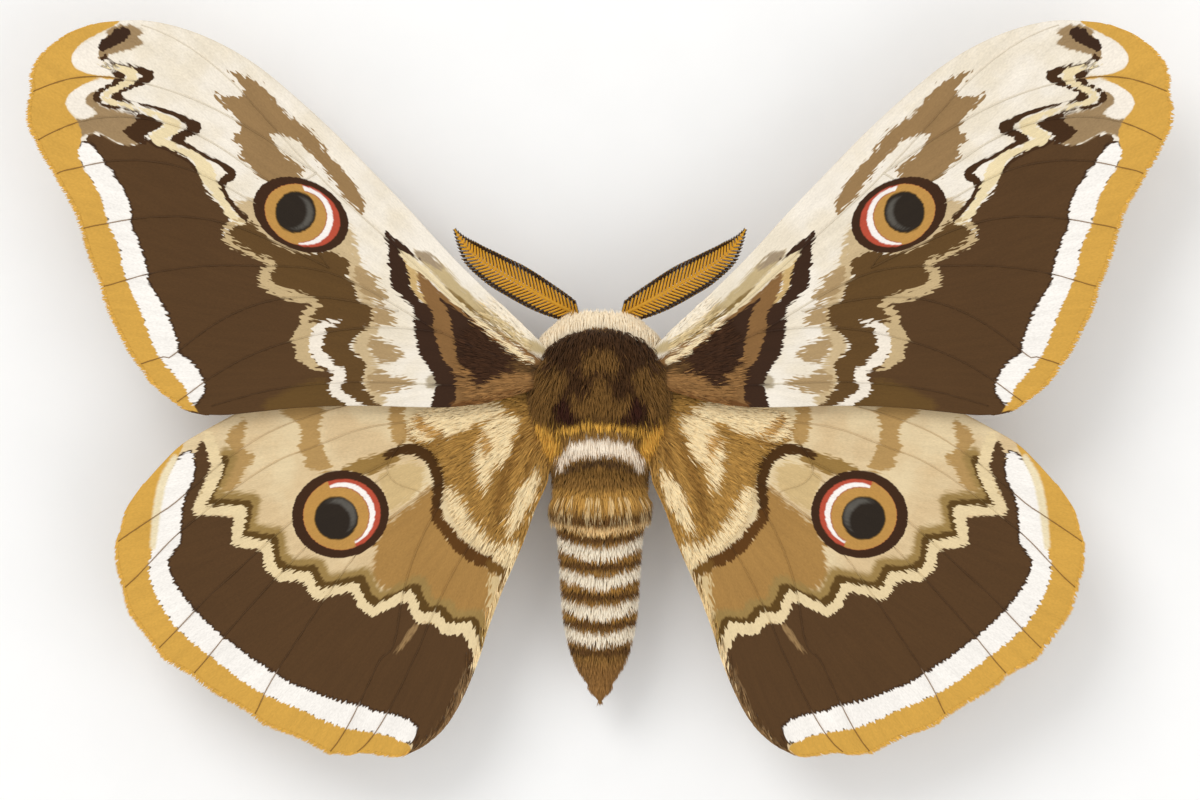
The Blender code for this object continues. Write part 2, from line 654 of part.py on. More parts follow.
def main():
    clear_scene()
    dark_fur = material("thorax_fur", (0.13, 0.075, 0.035), 0.95)
    tan_fur = material("abdomen_fur", (0.36, 0.23, 0.11), 0.95)
    head_fur = material("head_fur", (0.2, 0.12, 0.06), 0.95)
    membrane = material("wing_scales", (0.42, 0.29, 0.16), 0.9)
    feeler = material("antenna_horn", (0.55, 0.33, 0.09), 0.8)
    facets = material("eye_facets", (0.02, 0.015, 0.012), 0.2)
    leg_fur = material("leg_fur", (0.22, 0.13, 0.06), 0.9)

    wings = []
    for name, shape, veins in (("forewing", FOREWING, FOREWING_VEINS), ("hindwing", HINDWING, HINDWING_VEINS)):
        left = wing(name + "_left", shape, veins, membrane)
        wings += [left, mirrored(left, name + "_right")]
    feelers = [antenna("antenna_left", feeler)]
    feelers.append(mirrored(feelers[0], "antenna_right"))
    eyes = [eye("eye_left", facets)]
    eyes.append(mirrored(eyes[0], "eye_right"))
    legs = []
    for place, path in LEGS.items():
        left = leg(f"leg_{place}_left", path, leg_fur)
        legs += [left, mirrored(left, f"leg_{place}_right")]

    room = [antenna("antenna_clearance_left", feeler, 4, GAP)]
    room.append(mirrored(room[0], "antenna_clearance_right"))

    face = head()
    eye_room = [grown_copy(one) for one in eyes]
    carve(face, eye_room + room)
    finish(face, head_fur)

    tail = abdomen()
    wing_room = [grown_copy(one) for one in wings]
    carve(tail, wing_room[2:])
    finish(tail, tan_fur)

    roots = [(side * path[1][0], path[1][1], path[1][2]) for path in LEGS.values() for side in (-1, 1)]
    chest = thorax(roots)
    body_room = [grown_copy(one) for one in (*legs, tail, face)]
    carve(chest, wing_room + room + eye_room + body_room)
    finish(chest, dark_fur)
    for cutter in wing_room + room + eye_room + body_room:
        bpy.data.objects.remove(cutter)


main()
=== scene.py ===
"""Looks of a giant peacock moth that stands on a pale floor with its wings spread flat.

The moth faces -Y and its own left side is at +X. Marking outlines are written in millimetres on the
left wings, as (distance from the midline, distance towards the tail), and mirrored for the right.
"""

import math

import bpy
import numpy as np
from bpy.props import FloatProperty, FloatVectorProperty, IntProperty, PointerProperty
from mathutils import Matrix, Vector


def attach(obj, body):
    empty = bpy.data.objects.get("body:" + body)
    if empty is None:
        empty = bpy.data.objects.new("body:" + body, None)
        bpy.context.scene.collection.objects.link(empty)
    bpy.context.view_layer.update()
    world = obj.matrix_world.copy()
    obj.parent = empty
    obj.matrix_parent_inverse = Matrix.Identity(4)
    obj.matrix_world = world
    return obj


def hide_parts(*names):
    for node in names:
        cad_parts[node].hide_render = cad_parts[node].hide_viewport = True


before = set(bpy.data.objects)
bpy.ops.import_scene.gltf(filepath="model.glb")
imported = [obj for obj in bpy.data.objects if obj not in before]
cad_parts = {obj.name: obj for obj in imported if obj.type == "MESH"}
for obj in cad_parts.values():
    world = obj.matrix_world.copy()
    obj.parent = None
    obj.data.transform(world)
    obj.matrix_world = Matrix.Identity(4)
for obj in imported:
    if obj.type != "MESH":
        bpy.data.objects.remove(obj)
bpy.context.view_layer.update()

bl_info = {
    "name": "Giant Peacock Moth",
    "version": (1, 0, 0),
    "blender": (4, 5, 0),
    "location": "3D View > Sidebar > Moth",
    "description": "Builds the patterned wings, furred body, antennae and legs of a moth",
    "category": "Add Mesh",
}

MM = 0.001
SEED = 23
# Hair shades itself, so its own colour is this much lighter than the colour it shows
HAIR_LIFT = 1.22
HALF_SPAN = 75.0


def colour_of(code):
    """Linear red, green and blue of a colour written as six hexadecimal digits."""
    parts = np.array([int(code[k:k + 2], 16) / 255 for k in (0, 2, 4)])
    return np.where(parts <= 0.04045, parts / 12.92, ((parts + 0.055) / 1.055) ** 2.4)


# Shapes on the plane of a wing or body. Each function makes a rule that takes points and gives how deep
# they lie inside the shape, in millimetres, negative outside.

def rounded(points, closed, rounds=2):
    """Cuts the corners of an outline or line as many times as rounds says: each stretch is replaced by its
    points at a quarter and at three quarters."""
    line = np.array(points, float)
    for _ in range(rounds):
        after = np.roll(line, -1, axis=0) if closed else line[1:]
        before = line if closed else line[:-1]
        cut = np.stack([0.75 * before + 0.25 * after, 0.25 * before + 0.75 * after], axis=1)
        cut = cut.reshape(-1, line.shape[1])
        line = cut if closed else np.vstack([line[:1], cut, line[-1:]])
    return line


def area(*points):
    """Depth inside a closed outline: the distance to its nearest side, negative where a ray to the right
    crosses the outline an even number of times."""
    outline = rounded(points, True)

    def depth(p):
        inside = np.zeros(len(p), bool)
        nearest = np.full(len(p), 1e9)
        for start, end in zip(outline, np.roll(outline, -1, axis=0)):
            step = end - start
            share = np.clip(((p - start) @ step) / (step @ step + 1e-12), 0, 1)
            nearest = np.minimum(nearest, np.hypot(*(p - start - share[:, None] * step).T))
            if start[1] != end[1]:
                crosses = (start[1] > p[:, 1]) != (end[1] > p[:, 1])
                at = start[0] + (p[:, 1] - start[1]) / (end[1] - start[1]) * (end[0] - start[0])
                inside ^= crosses & (p[:, 0] < at)
        return np.where(inside, nearest, -nearest)

    return depth


def stroke(*points, rounds=1):
    """Depth inside a line drawn through (x, y, width): half the width there less the distance to the line."""
    line = rounded(points, False, rounds)

    def depth(p):
        best = np.full(len(p), -1e9)
        for start, end in zip(line, line[1:]):
            step = end[:2] - start[:2]
            share = np.clip(((p - start[:2]) @ step) / (step @ step + 1e-12), 0, 1)
            away = np.hypot(*(p - start[:2] - share[:, None] * step).T)
            best = np.maximum(best, (start[2] + share * (end[2] - start[2])) / 2 - away)
        return best

    return depth


def oval(x, y, long_half, short_half, tilt=0.0):
    """Depth inside an ellipse whose long half axis is turned by tilt degrees from the way outwards to the
    way forwards."""
    turn = math.radians(tilt)

    def depth(p):
        a = ((p[:, 0] - x) * math.cos(turn) - (p[:, 1] - y) * math.sin(turn)) / long_half
        b = ((p[:, 0] - x) * math.sin(turn) + (p[:, 1] - y) * math.cos(turn)) / short_half
        reach = np.hypot(a, b) + 1e-9
        return (1 - reach) * np.hypot(p[:, 0] - x, p[:, 1] - y) / reach

    return depth


def within(first, second):
    """Depth inside both shapes: the smaller of the two depths."""
    return lambda p: np.minimum(first(p), second(p))


def without(first, second):
    """Depth inside the first shape and outside the second."""
    return lambda p: np.minimum(first(p), -second(p))


def grown(shape, margin):
    """The shape made larger by a margin all round."""
    return lambda p: shape(p) + margin


def shifted(points, across, down, width):
    """A line's points moved by the same steps and given one width."""
    return [(x + across, y + down, width) for x, y, _ in points]


def arch(*half):
    """A stroke across the midline. One half is given, from the midline outwards, and is mirrored."""
    return stroke(*[(-x, y, width) for x, y, width in half[:0:-1]], *half)


def both_sides(make, *points):
    """The shape made from the points, and its mirror image beyond the midline."""
    return make(*points), make(*[(-x, *rest) for x, *rest in points])


def eyespot(ring, iris, ochre, white, pupil, lit, unlit):
    """Markings of a wing's eye, from its dark ring to the grey glint. The pupil is given as the place of its
    middle and its two half widths. The glint is the part of the lit oval outside the unlit one."""
    x, y, wide, high = pupil
    return (
        ("eye_ring", "3E2410", 0.08, 0.12, (ring,)),
        ("eye_red", "BF5038", 0.12, 0.1, (iris,)),
        ("eye_white", "FFF8F2", 0.12, 0.12, (within(iris, white),)),
        ("eye_rim", "B8714E", 0.08, 0.1, (grown(ochre[0], 0.14),)),
        ("eye_ochre", "C2914A", 0.1, 0.1, ochre),
        ("eye_pupil_rim", "7A5A28", 0.1, 0.1, (oval(x, y, wide + 0.12, high + 0.12),)),
        ("eye_pupil", "2A2118", 0.1, 0.1, (oval(x, y, wide, high),)),
        ("eye_glint", "5B5750", 0.3, 0.1, (without(lit, unlit),)),
    )


# Markings, from the lowest to the highest layer: name, colour, softness of the edge, raggedness of the
# edge along the lie of the scales, and shapes.

FORE_RING = oval(39.3, -22.7, 6.55, 4.6, 25)
FORE_IRIS = oval(39.1, -22.6, 5.13, 3.9, 25)
FORE_OCHRE = (
    within(FORE_IRIS, oval(39.3, -22.45, 3.3, 3.3)),
    within(FORE_IRIS, area((39.2, -28), (46, -28), (46, -17), (40.4, -17), (39.2, -20), (38.4, -23))),
)
FORE_BAND = area((68.6, -31.2), (68.2, -29.3), (65.6, -25.5), (64.8, -22.0), (63.1, -18.5), (62.5, -14.5),
                 (60.1, -9.7), (58.6, -5.0), (57.1, -3.0), (54.3, 0.0), (53.8, 2.4), (53.0, 2.0), (52.1, 1.0),
                 (51.9, -0.5), (53.0, -2.8), (55.6, -4.7), (55.3, -5.2), (56.0, -7.5), (57.5, -11.0),
                 (59.6, -14.0), (59.2, -14.6), (60.4, -18.5), (61.9, -22.0), (61.4, -22.6), (62.4, -25.8),
                 (64.6, -29.0), (65.4, -30.0), (66.2, -31.3), (67.2, -32.1), (68.1, -32.0))
FORE_ZIGZAG_LOW = ((38.8, -8.8, 1.4), (38.3, -10.0, 1.3), (36.9, -11.2, 0.9), (40.0, -12.0, 1.3),
                   (42.8, -12.8, 1.4), (44.6, -14.3, 1.5), (43.0, -15.9, 1.1), (43.6, -16.7, 0.8),
                   (45.0, -17.2, 0.6), (46.5, -17.8, 0.6), (48.0, -18.6, 0.8), (49.1, -19.7, 0.9),
                   (49.2, -20.8, 0.8), (48.1, -21.6, 0.9), (47.2, -21.8, 0.5))
FOREWING_MARKS = (
    ("buff_shade", "CFB68C", 0.4, 1.0, (
        area((37.0, -18.6), (34.2, -20.0), (33.2, -21.6), (32.2, -20.0), (31.9, -18.0), (31.0, -16.2),
             (31.4, -14.6), (33.0, -14.0), (35.5, -17.0)),
        stroke((34.2, -18.4, 1.8), (32.6, -15.4, 2.2), (31.2, -12.6, 2.6), (30.4, -10.8, 2.2),
               (29.9, -8.2, 2.2), (31.6, -5.8, 2.6), (30.2, -3.0, 2.3), (30.6, -0.8, 2.2), (29.5, 1.6, 2.4)),
        area((48.3, -24.4), (45.4, -25.0), (43.0, -22.0), (37.0, -20.0), (37.0, -17.0), (42.0, -16.0),
             (47.6, -20.6), (47.6, -22.8)))),
    ("tan_scallops", "B2956A", 0.2, 0.9, (
        area((32.6, -16.2), (30.2, -15.1), (28.9, -14.0), (29.3, -13.4), (27.9, -12.3), (28.1, -11.5),
             (30.6, -11.5), (31.6, -12.8)),
        area((30.1, -11.0), (27.9, -10.5), (26.5, -9.0), (27.7, -8.0), (29.8, -8.2)),
        area((29.8, -7.0), (27.7, -5.8), (25.3, -4.2), (27.5, -3.2), (29.8, -3.7), (30.6, -5.5)),
        area((29.8, -2.5), (27.3, -1.6), (23.6, -0.6), (26.4, 0.3), (29.3, 1.0), (30.7, -0.4)))),
    ("grey_patch", "B8A98E", 0.3, 0.6, (area((23.2, -0.8), (21.8, -2.2), (20.8, -0.6), (22.2, 0.5)),)),
    ("tan_front_patch", "9A7A50", 0.12, 0.7, (
        area((49.4, -41.9), (46.8, -41.1), (44.2, -39.6), (41.4, -36.0), (39.4, -34.9), (37.7, -33.5),
             (35.5, -30.4), (33.2, -28.0), (31.0, -25.1), (30.7, -22.4), (33.5, -24.6), (35.5, -27.7),
             (38.3, -31.2), (40.5, -32.9), (43.9, -33.7), (42.0, -31.0), (40.2, -29.8), (38.7, -28.5),
             (40.0, -28.2), (38.8, -27.0), (42.5, -26.4), (44.2, -27.2), (45.9, -29.0), (47.8, -30.6),
             (46.7, -31.3), (48.8, -33.1), (46.5, -33.8), (49.6, -37.3), (51.9, -39.0), (48.2, -38.0),
             (46.8, -38.5), (46.8, -39.6)),)),
    ("middle_field", "624622", 0.12, 0.7, (
        area((49.6, -21.2), (47.2, -21.4), (45.8, -22.0), (44.9, -20.8), (43.5, -19.55), (42.1, -18.75),
             (40.5, -18.05), (38.6, -17.6), (36.2, -17.8), (35.4, -17.9), (34.6, -17.5), (33.2, -17.0),
             (32.6, -16.0), (33.5, -15.0), (32.0, -13.0), (32.0, -11.5), (30.0, -10.5), (30.0, -8.3),
             (31.5, -7.2), (33.0, -5.4), (31.9, -4.2), (30.4, -3.2), (31.3, -1.3), (30.8, 0.6), (29.4, 1.8),
             (27.8, 3.4), (38.0, 4.0), (42.0, 0.0), (44.0, -8.0), (47.0, -14.0), (50.0, -18.0)),)),
    ("outer_field", "573C20", 0.12, 0.7, (
        area((68.4, -31.6), (67.5, -32.8), (67.0, -33.4), (65.9, -33.5), (64.9, -33.0), (63.9, -32.3),
             (62.8, -32.0), (60.6, -31.9), (60.0, -33.0), (57.0, -32.2), (55.0, -31.0), (52.5, -28.5),
             (52.0, -26.4), (51.0, -25.0), (50.0, -24.1), (49.0, -22.9),
             *[place[:2] for place in FORE_ZIGZAG_LOW[-2::-1]],
             (37.8, -8.0), (38.2, -5.6), (36.8, -3.0), (34.6, -1.4), (35.0, 0.4), (34.0, 1.6), (31.0, 3.6),
             (40.0, 4.6), (50.0, 5.4), (54.6, 3.4), (54.0, 1.0), (54.2, -1.2), (57.0, -4.0), (59.0, -11.0),
             (61.5, -16.0), (63.2, -24.0), (66.5, -29.8)),)),
    ("field_wedge", "664A22", 0.5, 0.4, (
        area((45.4, 2.8), (41.4, 0.4), (36.4, -1.6), (34.6, 0.4), (32.0, 3.2), (39.0, 4.6)),)),
    ("band_shadow", "3F2813", 0.15, 0.4, (grown(FORE_BAND, 0.28),)),
    ("apex_shade", "A1855F", 0.2, 0.3, (
        area((68.9, -32.6), (66.6, -33.5), (65.2, -33.2), (63.9, -32.2), (62.8, -31.9), (60.2, -31.8),
             (60.6, -34.4), (60.8, -35.6), (62.4, -36.2), (64.4, -36.6), (65.8, -37.2), (66.4, -38.2),
             (65.8, -39.2), (66.6, -39.1), (67.4, -38.5), (67.9, -37.6), (67.4, -37.0), (65.9, -36.1),
             (67.2, -35.3), (69.4, -35.3)),
        area((64.8, -47.6), (62.0, -47.8), (60.8, -47.3), (59.7, -46.7), (61.3, -46.0), (59.6, -45.3),
             (61.0, -44.7), (63.4, -44.1), (64.9, -43.6), (65.6, -43.0), (66.4, -43.1), (66.2, -44.2),
             (65.2, -45.4)))),
    ("ochre_border", "D9A74A", 0.12, 0.1, (
        area((61.5, -50.5), (63.6, -47.6), (65.0, -47.1), (66.4, -46.3), (67.8, -45.6), (69.1, -44.4),
             (69.6, -43.2), (69.1, -42.0), (67.5, -41.3), (65.9, -41.0), (63.7, -40.9), (63.6, -40.5),
             (65.4, -40.5), (66.9, -40.3), (69.0, -39.2), (70.1, -38.2), (70.3, -37.0), (69.4, -35.9),
             (68.6, -34.9), (67.9, -33.4), (68.5, -31.2), (68.1, -29.3), (65.5, -25.5), (64.7, -22.0),
             (63.0, -18.5), (62.4, -14.5), (60.0, -9.7), (58.5, -5.0), (57.0, -3.0), (54.2, 0.0), (53.6, 2.0),
             (51.8, 4.8), (60.0, 10.0), (82.0, 0.0), (82.0, -56.0), (64.0, -56.0)),)),
    ("white_lunules", "FBF1E2", 0.12, 0.25, (
        area((64.6, -46.7), (66.1, -46.1), (67.6, -45.5), (69.0, -44.3), (69.5, -43.2), (69.0, -42.1),
             (67.5, -41.4), (65.9, -41.1), (63.8, -41.0), (64.6, -41.6), (65.4, -42.2), (65.4, -43.0),
             (66.1, -43.2), (65.9, -44.2), (65.7, -44.8), (65.4, -45.6), (64.8, -46.2)),
        area((64.0, -40.2), (66.7, -40.2), (69.0, -39.1), (69.9, -38.3), (70.1, -37.1), (69.3, -36.0),
             (68.3, -35.3), (67.4, -35.3), (66.7, -35.8), (65.9, -36.1), (67.4, -37.1), (67.8, -37.7),
             (67.4, -38.5), (66.4, -39.0), (65.1, -39.6)))),
    ("white_band", "FFFAF3", 0.12, 0.35, (FORE_BAND,)),
    ("apex_spot", "3A2313", 0.12, 0.3, (
        area((62.9, -47.4), (61.8, -47.3), (61.8, -46.2), (62.8, -45.4), (64.4, -44.6), (65.7, -44.0),
             (65.9, -45.1), (65.3, -45.9), (64.3, -46.4), (63.9, -47.3)),)),
    ("zigzag_edges", "432910", 0.08, 0.2, (
        stroke((65.1, -43.7, 0.4), (65.4, -43.3, 0.8), (64.9, -42.9, 0.6), (63.4, -42.6, 0.55),
               (61.8, -42.3, 0.6), (60.6, -41.8, 0.9), (58.8, -41.0, 1.1), (60.1, -40.3, 1.1),
               (61.4, -39.6, 0.65), (62.9, -39.1, 0.7), (64.0, -38.4, 1.1), (63.1, -37.8, 0.8),
               (61.4, -37.3, 0.55), (59.3, -36.9, 0.55), (57.2, -36.3, 0.65), (55.5, -35.8, 0.7),
               (54.2, -35.0, 1.0), (52.6, -34.1, 1.2), (54.2, -33.4, 1.1), (56.3, -32.7, 1.1),
               (54.7, -32.1, 0.7), (53.5, -31.3, 0.6), (52.1, -30.5, 0.55), (50.2, -29.7, 0.6),
               (49.1, -28.9, 0.8), (48.1, -28.0, 1.2), (49.4, -27.2, 1.1), (49.9, -26.5, 1.0),
               (49.4, -25.4, 0.9), (48.5, -24.3, 0.6), (47.7, -23.3, 0.6), (46.6, -22.2, 0.9)),
        stroke((65.8, -42.1, 0.1), (64.6, -41.8, 0.4), (63.4, -41.3, 0.9), (62.8, -40.8, 1.2),
               (63.4, -40.1, 1.0), (64.6, -39.5, 0.6), (65.6, -39.0, 0.6), (66.5, -38.1, 0.8),
               (65.7, -37.5, 0.7), (64.4, -36.9, 0.5), (62.8, -36.4, 0.6), (60.8, -36.0, 0.6)),
        area((61.4, -36.3), (60.1, -36.0), (58.8, -35.5), (58.0, -35.1), (57.2, -34.55), (58.1, -33.9),
             (59.3, -33.5), (60.2, -33.0), (59.2, -32.2), (60.1, -31.8), (61.2, -32.4), (62.1, -33.1),
             (63.0, -33.6), (61.9, -34.3), (60.9, -34.9), (60.9, -35.6)),
        stroke((60.2, -32.9, 0.5), (58.6, -31.9, 0.5), (56.4, -31.1, 0.5), (54.2, -30.1, 0.5),
               (52.9, -28.4, 0.4)))),
    ("zigzag_yellow", "EFDCB0", 0.1, 0.35, (
        stroke((65.8, -42.6, 0.5), (64.2, -42.25, 0.5), (62.9, -41.9, 0.7), (61.5, -41.4, 1.2),
               (61.3, -40.6, 1.2), (62.3, -40.0, 0.85), (63.8, -39.2, 0.75), (65.3, -38.3, 1.0),
               (64.6, -37.7, 0.8), (62.9, -37.15, 0.6), (61.0, -36.65, 0.6), (59.1, -36.1, 0.65),
               (57.2, -35.4, 0.95), (55.7, -34.6, 1.5), (56.2, -33.8, 1.6), (58.6, -33.1, 1.1),
               (58.4, -32.6, 0.9), (56.4, -31.8, 0.95), (54.2, -30.9, 0.8), (52.8, -30.1, 1.2),
               (51.8, -28.6, 2.1), (51.2, -27.0, 1.7), (50.0, -25.2, 1.0), (49.1, -23.6, 0.9),
               (48.1, -22.3, 0.95), (47.1, -21.7, 0.8)),)),
    ("zigzag_tan", "CBB184", 0.1, 0.7, (
        stroke(*FORE_ZIGZAG_LOW),
        area((38.6, -9.0), (39.9, -7.8), (40.9, -6.1), (39.7, -5.2), (40.3, -3.9), (38.8, -2.9),
             (35.8, -2.0), (37.5, -3.5), (38.0, -6.0), (36.8, -8.2)))),
    ("zigzag_cream", "F7ECDB", 0.1, 0.6, (
        stroke((34.0, -8.8, 0.2), (36.9, -7.9, 1.5), (37.4, -5.8, 1.9), (37.1, -4.1, 1.6), (34.9, -2.5, 1.3),
               (33.9, -1.7, 1.5), (35.0, -0.2, 1.5), (34.7, 0.7, 1.4), (32.9, 1.8, 1.1), (31.0, 2.9, 0.9)),)),
    ("front_strip", "C6B083", 0.4, 0.5, (
        area((25.0, -17.9), (23.7, -17.9), (21.5, -17.0), (20.0, -15.6), (18.8, -14.0), (17.3, -12.5),
             (15.1, -10.6), (13.2, -9.0), (11.0, -7.2), (8.0, -6.0), (6.0, -4.2), (9.0, -4.4), (13.2, -7.2),
             (17.0, -10.2), (20.3, -13.0), (22.4, -15.2)),)),
    ("front_strip_grey", "A28E74", 0.35, 0.5, (
        area((24.8, -17.9), (22.6, -17.9), (21.3, -16.7), (20.4, -15.4), (21.6, -15.6), (23.4, -16.7)),)),
    ("olive_streak", "8A7040", 0.15, 0.3, (
        stroke((20.8, -13.5, 0.3), (18.8, -11.8, 0.6), (17.0, -10.2, 0.6), (15.1, -8.8, 0.5),
               (13.2, -7.2, 0.6), (11.3, -5.6, 0.6), (9.0, -4.1, 0.6)),)),
    ("root_band", "8B653A", 0.15, 0.5, (
        area((25.4, -17.0), (23.4, -15.8), (21.0, -12.4), (17.0, -10.0), (12.0, -6.0), (6.0, -3.0),
             (6.0, 1.0), (12.0, 3.0), (20.0, 3.6), (20.4, -1.0), (22.6, -5.0), (23.0, -11.0)),)),
    ("root_buff_line", "CFAE74", 0.15, 0.5, (
        area((26.4, -17.8), (24.4, -16.6), (24.0, -15.0), (23.95, -13.2), (23.3, -11.9), (22.5, -10.5),
             (23.6, -11.2), (24.6, -12.2), (25.4, -13.6), (25.6, -15.4)),)),
    ("inner_line", "3A2313", 0.1, 0.5, (
        area((28.7, -20.6), (27.9, -18.2), (27.7, -15.8), (27.5, -13.5), (26.4, -12.0), (24.8, -10.9),
             (24.3, -9.8), (24.5, -7.9), (24.1, -5.8), (23.7, -4.1), (22.4, -2.4), (21.5, -0.7), (21.8, 0.6),
             (22.6, 3.2), (19.2, 3.4), (18.9, -0.4), (19.0, -1.7), (20.5, -3.4), (21.3, -5.5), (21.95, -7.7),
             (21.85, -9.2), (22.2, -10.6), (23.9, -11.7), (25.0, -13.2), (25.2, -15.0), (26.0, -17.4),
             (25.2, -17.3), (23.4, -16.4), (25.4, -18.6), (27.2, -19.8)),)),
    ("root_triangle", "3A2313", 0.1, 0.5, (
        area((21.6, -12.3), (18.8, -10.2), (16.2, -8.3), (13.2, -5.8), (10.9, -3.9), (6.0, -1.6),
             (9.1, -2.3), (11.7, -1.9), (13.9, -1.3), (15.6, -0.1), (17.1, -0.3), (16.7, -1.7), (18.9, -3.0),
             (18.8, -4.1), (19.1, -6.0), (19.6, -8.5), (20.0, -10.2)),)),
    ("root_wedge", "5F4424", 0.3, 0.6, (
        area((12.0, -3.4), (9.0, -3.2), (6.0, -2.6), (6.0, -1.9), (11.6, -1.9)),)),
    ("rear_edge_shade", "6B4520", 0.25, 0.5, (
        stroke((19.4, 2.3, 0.7), (16.0, 1.9, 0.5), (13.6, 1.4, 0.4), (11.0, 0.7, 0.4), (8.0, 0.2, 0.5)),)),
    ("root_cream_line", "F0DDB4", 0.1, 0.35, (
        stroke((26.0, -17.6, 0.7), (25.2, -16.9, 1.1), (24.0, -15.9, 1.2), (22.6, -14.8, 1.0),
               (20.7, -13.0, 0.85), (19.2, -11.5, 0.75), (17.3, -9.85, 0.6), (15.1, -8.05, 0.6),
               (13.2, -6.4, 0.7), (11.3, -4.75, 0.8), (9.0, -3.4, 0.8)),)),
    *eyespot(FORE_RING, FORE_IRIS, FORE_OCHRE, oval(39.05, -22.6, 4.15, 3.68, 40), (40.0, -23.05, 2.6, 2.66),
             oval(39.85, -22.95, 2.15, 2.15), oval(40.8, -23.2, 2.3, 2.35)),
)

HIND_RING = oval(34.2, 16.7, 6.4, 5.75, -12)
HIND_IRIS = oval(34.0, 16.7, 5.1, 4.65, -12)
HIND_OCHRE = (
    within(HIND_IRIS, oval(34.2, 16.9, 3.72, 3.72)),
    within(HIND_IRIS, area((36.4, 10.5), (42, 10.5), (42, 24), (31.0, 24), (32.0, 20.8), (34.4, 16.8))),
)
HIND_ZIGZAG = ((51.6, 6.6, 1.6), (50.3, 10.4, 1.5), (51.3, 12.8, 1.5), (53.0, 16.1, 1.2), (47.2, 16.3, 1.5),
               (47.9, 20.3, 1.4), (43.9, 20.8, 1.4), (43.5, 23.7, 1.3), (41.9, 24.9, 1.4), (38.5, 24.9, 1.3),
               (37.5, 27.3, 1.3), (32.3, 26.2, 1.1), (31.4, 28.5, 1.3), (30.0, 29.5, 1.2), (25.1, 27.3, 1.2),
               (24.0, 30.4, 1.4), (21.7, 30.3, 1.4), (20.3, 32.0, 1.5), (17.6, 31.7, 1.6), (15.9, 35.0, 1.6))
HIND_BAND = area((54.0, 8.2), (56.0, 9.6), (57.6, 13.0), (58.8, 17.0), (58.9, 21.5), (59.6, 23.8),
                 (58.6, 27.5), (55.6, 32.1), (51.6, 35.1), (48.1, 37.9), (44.6, 40.4), (40.1, 42.1),
                 (36.1, 44.1), (33.0, 45.1), (29.0, 45.6), (26.2, 46.7), (24.8, 46.9), (23.9, 45.2),
                 (25.3, 43.7),
                 (28.0, 43.0), (30.4, 42.6), (31.0, 42.0), (34.0, 41.6), (38.0, 40.1), (41.6, 38.6),
                 (42.3, 37.9), (45.0, 36.4), (50.0, 32.6), (53.5, 29.4), (56.0, 26.0), (57.3, 22.8),
                 (55.2, 20.5), (55.3, 18.5), (54.8, 14.0), (53.4, 12.0), (53.4, 9.4))
HIND_ROOT = area((4.0, 1.0), (10.0, 0.0), (17.0, 0.4), (22.0, 1.0), (26.0, 3.2), (25.2, 7.4), (22.6, 8.6),
                 (20.9, 10.8), (20.7, 15.5), (19.0, 18.6), (16.2, 21.6), (11.6, 24.6), (8.0, 20.0),
                 (6.0, 12.0))
